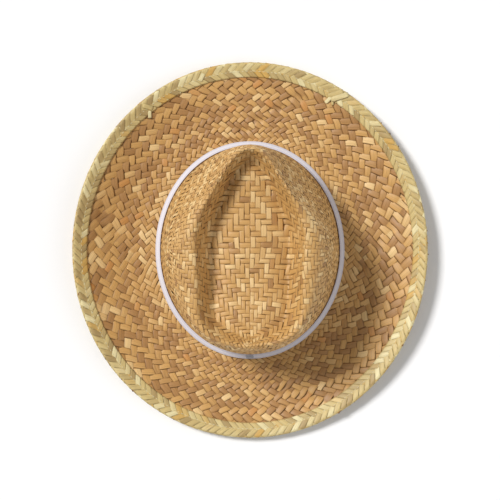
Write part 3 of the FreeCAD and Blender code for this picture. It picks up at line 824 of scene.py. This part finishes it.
def weave_body(context):
    """Weave the crown and brim from both families, four pieces of each."""
    form, plait = context.scene.hat_form, context.scene.hat_plait
    material = straw_material("plaited_straw", plait.golden, plait.tan, plait.pale, plait.amber,
                              plait.crevice, STRAW_DUST_AND_SHADE)
    random = np.random.default_rng(plait.seed)
    pieces = []
    families = zip(("lengthwise", "crosswise"), plait_strands(plait))
    for family, (even, steps, signs) in families:
        flat = strayed(even, plait)
        position, normal, spare = look_up(flat)
        one_side = look_up(strayed(even + 0.5j * steps, plait))[0]
        other_side = look_up(strayed(even - 0.5j * steps, plait))[0]
        along = unit(np.gradient(position, axis=1))
        apart = one_side - other_side
        apart -= along * (apart * along).sum(-1, keepdims=True)
        room = np.linalg.norm(apart, axis=-1)
        height, floats = wave_heights(signs)
        draws = random.normal(size=(6, len(flat), floats.max() + 1))
        own = random.normal(size=(3, len(flat), 1))
        by_float = [np.take_along_axis(draw, floats, 1) for draw in draws]
        outer = smooth_step(form.base_fillet, form.base_fillet + form.land_width,
                            np.hypot(position[..., 0], position[..., 1])
                            - (form.crown_width + form.crown_length) / 4)
        side = np.cross(normal, along)
        rise = height * plait.wave * (0.8 + 0.4 * outer) + ROW_FLOATS * by_float[1]
        shift = ROW_SHIFT * np.clip(by_float[2], -1.5, 1.5)
        centre = (position - normal * (form.straw_thick / 2)
                  + normal * rise[..., None] + side * shift[..., None])
        width = room * (1.08 + 0.17 * outer + 0.3 * seam_nearness(even, plait) + np.clip(
            0.04 * own[0] + 0.05 * by_float[0], -0.1, 0.14))
        tone = 0.55 - 0.28 * outer + 0.17 * own[1] + (0.2 + 0.1 * outer) * by_float[3]
        ripe = smooth_step(1.95, 2.2, by_float[5]) * (0.25 + 0.75 * outer)
        first, last = kept_range(spare)
        thick = np.full(width.shape, plait.thickness) * (1 + 0.08 * by_float[1])
        tilt = 0.07 * outer + np.clip(0.04 * by_float[4], -0.08, 0.08)
        group = len(flat) // 4
        for number in range(4):
            mine = slice(number * group, (number + 1) * group)
            piece = strips("plait_%s_%d" % (family, number + 1), centre[mine], normal[mine],
                           width[mine], thick[mine], first[mine], last[mine],
                           tilt=tilt[mine], values={"tone": tone[mine], "ripe": ripe[mine]})
            finish_piece(piece, material, "hat", "straw", "straw_crown", "straw_brim")
            pieces.append(piece)
    return pieces


def straw_material(name, common, dull, pale, ripe, crevice, dust_and_shade_amount):
    """Split straw, dried in the sun and woven damp. The eye sees straws of several ages, long
    fine fibres along each and a waxy half-gloss on the backs. Each strip's edges, where the
    straws cross, are darkened: partly dust, partly painted shade of the crevices. The fibres
    are really 0.1 mm wide and are drawn 0.4 mm wide so that they show."""
    material, tree = new_material(name)
    run = uv_place(tree, "straw")
    fibre = noise(tree, mapped(tree, run, Scale=(90.0, 2400.0, 1.0)), 1.0,
                  Detail=3.0, Roughness=0.6)
    bands = noise(tree, mapped(tree, run, Scale=(45.0, 600.0, 1.0)), 1.0, Detail=2.0)
    cloud = noise(tree, object_place(tree), 14.0, Detail=3.0)
    mixed = weighted(tree, cloud, 0.3, weighted(tree, bands, 0.35, attribute(tree, "tone")))
    mixed = add_node(tree, "Math", {0: mixed, 1: -0.325}, operation="ADD").outputs[0]
    age = colour_ramp(tree, mixed, [(0.05, dull), (0.38, common), (0.62, common), (0.95, pale)])
    base = blended(tree, attribute(tree, "ripe"), age, ripe)
    lit = scaled(tree, base, spread(tree, fibre, 0.8, 1.12, 0.3, 0.7))
    # each strip's edges, where the straws cross, are darkened: dust, and painted shade of the
    # crevices
    dust_and_shade = spread(tree, attribute(tree, "edge"), 0.0, dust_and_shade_amount, 0.62, 1.0)
    surface(tree, {"Base Color": blended(tree, dust_and_shade, lit, crevice),
                   "Roughness": spread(tree, fibre, 0.4, 0.62, 0.25, 0.75),
                   "Normal": bumped(tree, fibre, 0.55, 0.25), "IOR": 1.5})
    return material


# ---- the edge binding --------------------------------------------------------------------

@functools.lru_cache(maxsize=1)
def edge_run():
    """Distance along the straw's cut edge against the turn, and the whole way round."""
    turn = np.linspace(0.0, FULL_TURN, 2881)
    return turn, step_sums(brim_point(bpy.context.scene.hat_form, 1.0, turn))[0]


def brim_frame(form, inset, turn):
    """Position, upward normal and outward direction of the brim's upper side, a given way in
    from its cut edge, measured along the slope."""
    start, side, end = brim_span(form)
    span = (side + end) / 2 - start
    rise = form.rise_end + (form.rise_side - form.rise_end) * np.cos(turn) ** 2
    share = 1.0 - inset / np.hypot(span, 2.0 * rise * (1.0 - 0.5 * inset / span))
    point = brim_point(form, share, turn)
    outward = brim_point(form, share + 0.01, turn) - brim_point(form, share - 0.01, turn)
    around = brim_point(form, share, turn + 0.002) - brim_point(form, share, turn - 0.002)
    return point, unit(np.cross(outward, around)), unit(outward)


def binding_width(binding):
    """The binding's whole width: top, half an ellipse around the edge, and underside."""
    fold = math.pi * math.sqrt((binding.fold_side ** 2 + binding.fold_up ** 2) / 2)
    return binding.top, fold, binding.under


def binding_point(form, binding, run, across):
    """A place on the binding's middle layer, from the distance along the edge and the distance
    across from the inner edge of its top: flat, half an ellipse around the edge, then flat.
    Returns the position and the direction out of the binding."""
    turns, runs = edge_run()
    turn = np.interp(run % runs[-1], runs, turns)
    top, fold = binding_width(binding)[:2]
    angle = np.clip((across - top) / fold, 0.0, 1.0) * math.pi
    inset = np.where(across < top, top - across, np.maximum(across - top - fold, 0.0))
    point, normal, outward = brim_frame(form, inset, turn)
    out, up = binding.fold_side * np.sin(angle), binding.fold_up * np.cos(angle)
    lift = binding.lift - binding.fold_up + up
    way = (outward * (np.sin(angle) / binding.fold_side)[..., None]
           + normal * (np.cos(angle) / binding.fold_up)[..., None])
    return point + outward * out[..., None] + normal * lift[..., None], unit(way)


def bind_edge(context):
    """Fold a herringbone plait over the edge. A strip runs across the plait at half a right
    angle: distance along = start + slant x distance across. It crosses one strip of the other
    slant every half repeat, and passes over two and under two of them."""
    form, binding = context.scene.hat_form, context.scene.hat_binding
    random = np.random.default_rng(context.scene.hat_plait.seed + 11)
    repeat = edge_run()[1][-1] / binding.strips
    crossings = int(sum(binding_width(binding)) / (repeat / 2)) + 1
    across = (np.arange(crossings * SAMPLES) - 1) / SAMPLES * repeat / 2
    number = np.arange(binding.strips) + 0.5
    centres, ways, widths, thicks, tones, ripes, tilts = [], [], [], [], [], [], []
    for slant in (1, -1):
        over = np.where(np.arange(crossings) % 4 < 2, slant, -slant)
        signs = np.tile(over, (binding.strips, 1)).astype(float)
        height, floats = wave_heights(signs)
        draws = random.normal(size=(5, binding.strips, floats.max() + 1))
        own = random.normal(size=(binding.strips, 1))
        by_float = [np.take_along_axis(draw, floats, 1) for draw in draws]
        width = np.full(height.shape, repeat / math.sqrt(2.0)) * np.clip(
            1.0 + 0.04 * by_float[0], 0.9, 1.08)
        taper = np.ones(height.shape[1])
        taper[[0, -1]] = 0.6
        run = number[:, None] * repeat + slant * across
        point, way = binding_point(form, binding, run, across + 0 * run)
        height = height * binding.wave + 0.035 * MM * by_float[1]
        height[:, [0, -1]] -= 0.2 * MM
        centres.append(point + way * height[..., None])
        ways.append(way)
        widths.append(width)
        thicks.append(np.full(width.shape, binding.thickness) * taper)
        long_wave, short_wave = (FULL_TURN * run / reach for reach in PATCH_LENGTHS)
        patch = PATCH_TONE * np.sin(long_wave + 2.0) * np.sin(short_wave)
        tones.append(0.46 + patch + 0.2 * own + 0.2 * by_float[2])
        ripes.append(smooth_step(1.0, 1.8, by_float[4]))
        tilts.append(np.clip(0.04 * by_float[3], -0.08, 0.08))
    piece = strips("edge_binding_plait", np.concatenate(centres), np.concatenate(ways),
                   np.concatenate(widths), np.concatenate(thicks), tilt=np.concatenate(tilts),
                   values={"tone": np.concatenate(tones), "ripe": np.concatenate(ripes)},
                   section=REED_SECTION, shear=np.repeat([1.0, -1.0], binding.strips))
    material = straw_material("split_reed", binding.green, binding.olive, binding.pale,
                              binding.gold, binding.shade, REED_DUST_AND_SHADE)
    finish_piece(piece, material, "hat", "binding_straw", "edge_binding")
    lap = lap_strips(form, binding)
    finish_piece(lap, material, "hat", "binding_straw", "edge_binding")
    return [piece, lap]


LAP_THICK = 0.4 * MM            # one loose end of the binding
LAP_FOOT = 0.55                 # height of its two ends, against its middle

# Loose ends: distance along from the lap, distance across, at start and end, then width,
# height above the binding's middle, and tone
LAP_ENDS = [
    (-3.0, 13.5, 9.0, -1.0, 5.6, 1.15, 0.80),
    (3.0, 13.0, 14.0, 0.5, 5.2, 0.95, 0.40),
    (9.5, 4.0, 12.5, -6.5, 3.8, 0.75, 0.97),
    (7.5, -0.5, 4.5, -4.5, 2.6, 0.55, 0.62),
    (214.0, 1.5, 219.0, -4.5, 3.6, 0.60, 0.92),
    (216.0, 10.0, 210.0, 1.0, 4.8, 0.95, 0.55),
    (147.0, 9.5, 153.0, 3.0, 4.4, 0.90, 0.97),
]


def lap_strips(form, binding):
    """The cut ends of the plait where it laps itself, pressed flat and partly loose. Each is a
    straight strip in distances along and across, lowest at its two ends."""
    turns, runs = edge_run()
    start = np.interp(binding.lap_turn, turns, runs)
    ends = np.array(LAP_ENDS)
    share = np.linspace(0.0, 1.0, 9)
    run = start + (ends[:, :1] + (ends[:, 2:3] - ends[:, :1]) * share) * MM
    across = (ends[:, 1:2] + (ends[:, 3:4] - ends[:, 1:2]) * share) * MM
    point, way = binding_point(form, binding, run, across)
    bow = 1.0 - np.abs(2.0 * share - 1.0) ** 3
    height = ends[:, 5:6] * MM * (LAP_FOOT + (1.0 - LAP_FOOT) * bow) - 0.15 * MM
    taper = np.where((share == 0) | (share == 1), 0.8, 1.0)
    width = ends[:, 4:5] * MM * taper
    tone = ends[:, 6:7] + 0 * share
    return strips("edge_binding_lap", point + way * height[..., None], way, width,
                  np.full(width.shape, LAP_THICK), values={"tone": tone, "ripe": 0 * tone})


def stitch_line(form, binding, across, rise, count, sewn):
    """Middle lines of short stitches along the binding: each arches over the straw and dips
    into it at both ends, as half a period of a cosine."""
    whole = edge_run()[1][-1]
    share = np.linspace(-0.5, 0.5, 7)
    run = (np.arange(count)[:, None] + share * sewn) * whole / count
    point, way = binding_point(form, binding, run, across + 0 * run)
    arch = rise * (2.0 * np.cos(math.pi * share) - 1.0)
    return point + way * arch[None, :, None], way


def stitch_binding(context):
    """Sew the binding on with two lines of pale thread, on the top and on the underside."""
    form, binding = context.scene.hat_form, context.scene.hat_binding
    top, fold, under = binding_width(binding)
    count = int(edge_run()[1][-1] / binding.stitch_pitch)
    rise = binding.wave + 0.8 * binding.thickness
    sewn = binding.stitch / binding.stitch_pitch
    lines = [stitch_line(form, binding, across, rise, count, sewn)
             for across in (binding.seam, top + fold + under - binding.seam * 0.8)]
    centre = np.concatenate([line[0] for line in lines])
    way = np.concatenate([line[1] for line in lines])
    size = np.full(centre.shape[:2], binding.thread)
    piece = strips("binding_seam_thread", centre, way, size, size, section=ROUND_SECTION)
    material = thread_material("sewing_thread", context.scene.hat_trim.thread_pale)
    return finish_piece(piece, material, "hat", "thread", "binding_stitches")


def thread_material(name, shade):
    """Spun cotton thread: dull, with plies that wind round it every 0.8 mm."""
    material, tree = new_material(name)
    way = mapped(tree, uv_place(tree, "straw"), Rotation=(0, 0, 0.7))
    plies = waves(tree, way, 400.0, Distortion=0.6)
    lit = scaled(tree, tuple(shade)[:3], spread(tree, plies, 0.72, 1.05))
    surface(tree, {"Base Color": lit, "Roughness": 0.85, "Normal": bumped(tree, plies, 0.5, 0.1)})
    return material


# ---- elastic band ------------------------------------------------------------------------

def elastic_frame(trim):
    """The elastic's oval path, from its node's box: half axes and height of its middle."""
    low, high = (np.array(corner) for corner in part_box("hat_band"))
    slope = trim.elastic_tilt
    inward = (trim.elastic_width * math.cos(slope) + trim.elastic_thick * math.sin(slope)) / 2
    half = (high - low) / 2 - inward
    return half[0], half[1], (low[2] + high[2]) / 2


def elastic_place(trim, turn):
    """Middle, outward and upward directions of the elastic at a turn: the upward one is the
    broad face's, sloped outwards."""
    half_x, half_y, height = elastic_frame(trim)
    middle = np.stack([half_x * np.cos(turn), half_y * np.sin(turn), height + 0 * turn], -1)
    out = unit(np.stack([half_y * np.cos(turn), half_x * np.sin(turn), 0 * turn], -1))
    up = np.array([0.0, 0.0, 1.0])
    slope = trim.elastic_tilt
    broad = out * math.cos(slope) - up * math.sin(slope)
    face = out * math.sin(slope) + up * math.cos(slope)
    return middle, broad, face


def make_elastic(context):
    """The knitted elastic: a flat rounded section with five ribs on each broad face, carried
    round its oval. Rib height follows the square of a cosine."""
    trim = context.scene.hat_trim
    turn = np.linspace(0.0, FULL_TURN, 901)[:-1]
    middle, broad, face = elastic_place(trim, turn)
    around = np.linspace(0.0, FULL_TURN, 57)[:-1]
    power = 0.4
    flat = np.sign(np.cos(around)) * np.abs(np.cos(around)) ** power
    thick = np.sign(np.sin(around)) * np.abs(np.sin(around)) ** power
    ribs = 1.0 - 0.16 * np.sin(flat * 2.5 * math.pi) ** 2
    across = flat * trim.elastic_width / 2
    lift = thick * ribs * trim.elastic_thick / 2
    points = (middle[None] + broad[None] * across[:, None, None] + face[None] * lift[:, None, None])
    rib = np.repeat(np.sin(flat * 2.5 * math.pi) ** 2, len(turn))
    piece = closed_grid("elastic_band_knit", points, {"rib": rib})
    material = elastic_material(trim)
    finish_piece(piece, material, "elastic_band", "elastic", "hat_band")
    return piece, make_tack(context)


def make_tack(context):
    """The bar of close stitches over the elastic's joint: each stitch is an arch across the
    band, slanted a little, and they lean alternately."""
    trim = context.scene.hat_trim
    low, high = (np.array(corner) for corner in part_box("hat_band_tack"))
    count = 13
    share = np.linspace(-0.5, 0.5, 9)
    start = np.linspace(low[0], high[0], count)[:, None]
    lean = np.where(np.arange(count) % 2, 0.35, -0.35)[:, None] * MM
    half_x = elastic_frame(trim)[0]
    turn = np.arccos(np.clip((start + 2 * lean * share) / half_x, -1, 1))
    middle, broad, face = elastic_place(trim, turn)
    arch = trim.elastic_thick / 2 + 0.34 * MM * (1.0 - (2.0 * share) ** 4)
    centre = (middle + broad * (share * trim.elastic_width * 0.94)[:, None]
              + face * arch[:, None])
    size = np.full(turn.shape, 0.42 * MM)
    piece = strips("elastic_band_tack", centre, face, size, size, section=ROUND_SECTION)
    material = thread_material("tack_thread", trim.tack_blue)
    return finish_piece(piece, material, "elastic_band", "tack_thread", "hat_band_tack")


def elastic_material(trim):
    """White knitted elastic of polyester over rubber: soft sheen, fine ribs lengthwise and a
    knit that repeats every 0.9 mm along it."""
    material, tree = new_material("knitted_elastic")
    run = uv_place(tree, "cloth")
    knit = waves(tree, mapped(tree, run, Rotation=(0, 0, 0.5)), 350.0,
                 Distortion=1.2, Detail=1.0)
    fuzz = noise(tree, run, 1800.0)
    base = colour_ramp(tree, weighted(tree, knit, 0.35, attribute(tree, "rib")),
                       [(0.0, trim.elastic_white), (1.35 / 1.4, trim.elastic_shade)])
    surface(tree, {"Base Color": base, "Roughness": 0.6, "Sheen Weight": 0.25,
                   "Normal": bumped(tree, weighted(tree, fuzz, 0.3, knit), 0.4, 0.12)})
    return material


# ---- sweatband ---------------------------------------------------------------------------

def lining_points(heights, depth, columns):
    """Points a given depth below the hat's outside, on level rings at the given heights: along
    every direction the offset surface falls steadily, so its height picks the place."""
    table, normal = hat_surface()[:2]
    offset = table - normal * depth
    picked = np.linspace(0, COLUMNS, columns, endpoint=False).astype(int)
    points = np.zeros((len(heights), columns, 3))
    for at, column in enumerate(picked):
        line = offset[:, column]
        foot = int(np.argmax(line[:, 2] < min(heights) - 0.05 * MM)) or LEVELS - 1
        head = foot - int(np.argmax(line[foot::-1, 2] > max(heights) + 2 * MM))
        rising = line[head:foot + 1][::-1]
        for axis in range(2):
            points[:, at, axis] = np.interp(heights, rising[:, 2], rising[:, axis])
        points[:, at, 2] = heights
    return points


def make_sweatband(context):
    """The cotton tape inside the head opening: an outer and an inner face on level rings, the
    inner one waved a little, with rounded edges."""
    trim = context.scene.hat_trim
    columns, levels = 480, 16
    heights = trim.sweat_low + trim.sweat_high * np.linspace(0.0, 1.0, levels)
    outer = lining_points(heights, trim.sweat_depth, columns)
    inner = lining_points(heights, trim.sweat_depth + trim.sweat_thick, columns)
    angle = np.arange(columns) * FULL_TURN / columns
    wave = 0.25 * MM * (np.sin(17 * angle) + 0.6 * np.sin(29 * angle + 1.0))
    inward = unit(inner - outer)
    up = np.linspace(0.0, 1.0, levels)[:, None, None]
    inner = inner + inward * wave[None, :, None] * up
    points = np.concatenate([inner, outer[::-1]])
    piece = closed_grid("sweatband_tape", points)
    material = tape_material(trim)
    finish_piece(piece, material, "hat", "sweatband_cloth", "sweatband")
    thread = sweat_stitches(context, inner)
    return piece


def sweat_stitches(context, inner):
    """Stitches near the lower edge of the sweatband, each an arch proud of its inner face."""
    trim, binding = context.scene.hat_trim, context.scene.hat_binding
    row = inner[1]
    closed = np.concatenate([row, row[:1]])
    run = step_sums(closed)[0]
    count = int(run[-1] / (binding.stitch_pitch * 1.3))
    share = np.linspace(-0.5, 0.5, 7)
    place = ((np.arange(count)[:, None] + 0.5 + share * 0.7) * run[-1] / count) % run[-1]
    centre = np.stack([np.interp(place, run, closed[:, axis]) for axis in range(3)], -1)
    inward = unit(-centre * np.array([1.0, 1.0, 0.0]))
    centre = centre + inward * (0.3 * MM * (2 * np.cos(math.pi * share) - 0.9))[None, :, None]
    size = np.full(centre.shape[:2], binding.thread)
    piece = strips("sweatband_seam_thread", centre, inward, size, size, section=ROUND_SECTION)
    material = thread_material("sweatband_thread", trim.thread_pale)
    return finish_piece(piece, material, "hat", "thread", "sweatband_stitches")


def tape_material(trim):
    """Cotton grosgrain tape: dull, with close ribs up and down every 1.1 mm, and fine threads
    across them."""
    material, tree = new_material("cotton_tape")
    run = uv_place(tree, "cloth")
    threads = weighted(tree, noise(tree, run, 900.0, Detail=3.0), 0.5, waves(tree, run, 290.0))
    # darker in blotches and between the ribs: stains, and painted shade in the rib grooves
    stains_and_rib_shade = weighted(tree, noise(tree, run, 25.0), 0.4, threads)
    base = colour_ramp(tree, stains_and_rib_shade, [(0.3, trim.sweat_shade), (1.0, trim.sweat_cloth)])
    surface(tree, {"Base Color": base, "Roughness": 0.9, "Sheen Weight": 0.2,
                   "Normal": bumped(tree, threads, 0.6, 0.25)})
    return material


# ---- steel -------------------------------------------------------------------------------

def steel_material():
    """Drawn spring-steel wire with a thin oil film: grey metal with fine lengthwise lines."""
    material, tree = new_material("drawn_steel")
    lines = noise(tree, object_place(tree), 700.0, Detail=2.0)
    base = colour_ramp(tree, lines, [(0.3, linear(STEEL_DARK)), (0.75, linear(STEEL_PALE))])
    surface(tree, {"Base Color": base, "Roughness": spread(tree, lines, 0.28, 0.5),
                   "Metallic": 1.0})
    return material


def finish_steel(context):
    """Give the edge wire and its joiner their steel."""
    material = steel_material()
    for name in ("edge_wire", "wire_joiner"):
        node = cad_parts[name]
        node.data.materials.clear()
        node.data.materials.append(material)


# ---- stage -------------------------------------------------------------------------------

def floor_material(stage):
    """Matt paper roll, barely mottled."""
    material, tree = new_material("paper_floor")
    tone = spread(tree, noise(tree, object_place(tree), 5.0), 0.985, 1.0)
    surface(tree, {"Base Color": scaled(tree, tuple(stage.floor)[:3], tone), "Roughness": 0.9})
    return material


def add_sun(name, strength, softness, lean, turn):
    """A sun: lean is its angle from straight above, turn its way round from the front."""
    sun = bpy.data.lights.new(name, "SUN")
    sun.energy = strength
    sun.angle = softness
    sun.color = (1.0, 0.99, 0.975)
    lamp = bpy.data.objects.new(name, sun)
    lamp.rotation_euler = (math.radians(lean), 0.0, math.radians(turn))
    return lamp


def build_stage(context):
    """Pale floor, a soft sun from the front left, a weak one from the right, even sky and the
    camera overhead."""
    stage = context.scene.hat_stage
    corners = FLOOR_HALF * np.array([(-1, -1, 0), (1, -1, 0), (1, 1, 0), (-1, 1, 0)])
    floor = make_piece("floor", corners, np.arange(4), np.array([0]))
    floor.data.materials.append(floor_material(stage))
    lamps = [add_sun("main_light", stage.sun_strength, stage.sun_softness, *MAIN_LIGHT),
             add_sun("fill_light", stage.fill_strength, FILL_SOFTNESS, *FILL_LIGHT)]
    world = bpy.data.worlds.new("studio")
    world.use_nodes = True
    sky = world.node_tree.nodes["Background"]
    sky.inputs["Color"].default_value = (0.97, 0.985, 1.0, 1.0)
    sky.inputs["Strength"].default_value = stage.sky_strength
    context.scene.world = world
    lens = bpy.data.cameras.new("overhead")
    lens.sensor_width = 36.0
    lens.lens = lens.sensor_width * stage.camera_height / stage.field
    camera = bpy.data.objects.new("overhead", lens)
    camera.location = (0.0, 0.0, stage.camera_height)
    camera.rotation_euler = (0.0, 0.0, math.pi)
    for thing in (*lamps, camera):
        context.scene.collection.objects.link(thing)
    context.scene.camera = camera
    context.scene.view_settings.view_transform = "Standard"


# ---- operators, panel and run ------------------------------------------------------------

class BuildStep:
    """What every step does when it is run: call its build function."""

    def execute(self, context):
        self.build(context)
        return {"FINISHED"}


class STRAWHAT_OT_weave_body(BuildStep, bpy.types.Operator):
    """Weave the crown and brim"""
    bl_idname = "strawhat.weave_body"
    bl_label = "Weave Crown and Brim"
    build = staticmethod(weave_body)


class STRAWHAT_OT_bind_edge(BuildStep, bpy.types.Operator):
    """Fold the herringbone binding over the brim's edge"""
    bl_idname = "strawhat.bind_edge"
    bl_label = "Bind Edge"
    build = staticmethod(bind_edge)


class STRAWHAT_OT_stitch_binding(BuildStep, bpy.types.Operator):
    """Sew the binding on"""
    bl_idname = "strawhat.stitch_binding"
    bl_label = "Stitch Binding"
    build = staticmethod(stitch_binding)


class STRAWHAT_OT_make_elastic(BuildStep, bpy.types.Operator):
    """Make the elastic band and its sewn joint"""
    bl_idname = "strawhat.make_elastic"
    bl_label = "Make Elastic"
    build = staticmethod(make_elastic)


class STRAWHAT_OT_make_sweatband(BuildStep, bpy.types.Operator):
    """Make the sweatband and its stitches"""
    bl_idname = "strawhat.make_sweatband"
    bl_label = "Make Sweatband"
    build = staticmethod(make_sweatband)


class STRAWHAT_OT_finish_steel(BuildStep, bpy.types.Operator):
    """Give the wire and its joiner their finish"""
    bl_idname = "strawhat.finish_steel"
    bl_label = "Finish Steel"
    build = staticmethod(finish_steel)


class STRAWHAT_OT_build_stage(BuildStep, bpy.types.Operator):
    """Set up the floor, the light and the camera"""
    bl_idname = "strawhat.build_stage"
    bl_label = "Build Stage"
    build = staticmethod(build_stage)


OPERATORS = (STRAWHAT_OT_build_stage, STRAWHAT_OT_weave_body, STRAWHAT_OT_bind_edge,
             STRAWHAT_OT_stitch_binding, STRAWHAT_OT_make_elastic, STRAWHAT_OT_make_sweatband,
             STRAWHAT_OT_finish_steel)
SETTINGS = {"hat_form": HatForm, "hat_plait": PlaitSettings, "hat_binding": BindingSettings,
            "hat_trim": TrimSettings, "hat_stage": StageSettings}


class STRAWHAT_PT_panel(bpy.types.Panel):
    """The hat's steps and settings"""
    bl_idname = "STRAWHAT_PT_panel"
    bl_label = "Straw Hat"
    bl_space_type = "VIEW_3D"
    bl_region_type = "UI"
    bl_category = "Straw Hat"

    def draw(self, context):
        for operator in OPERATORS:
            self.layout.operator(operator.bl_idname)
        for name, group in SETTINGS.items():
            box = self.layout.box()
            for key in group.__annotations__:
                box.prop(getattr(context.scene, name), key)


def register():
    """Register the classes and hang the settings on the scene."""
    for group in (*SETTINGS.values(), *OPERATORS, STRAWHAT_PT_panel):
        bpy.utils.register_class(group)
    for name, group in SETTINGS.items():
        setattr(bpy.types.Scene, name, bpy.props.PointerProperty(type=group))


def unregister():
    """Undo register."""
    for name in SETTINGS:
        delattr(bpy.types.Scene, name)
    for group in (*SETTINGS.values(), *OPERATORS, STRAWHAT_PT_panel):
        bpy.utils.unregister_class(group)


def main():
    """Register the classes, then build the stage and every piece."""
    register()
    for operator in OPERATORS:
        group, name = operator.bl_idname.split(".")
        getattr(getattr(bpy.ops, group), name)()


if __name__ == "__main__":
    main()
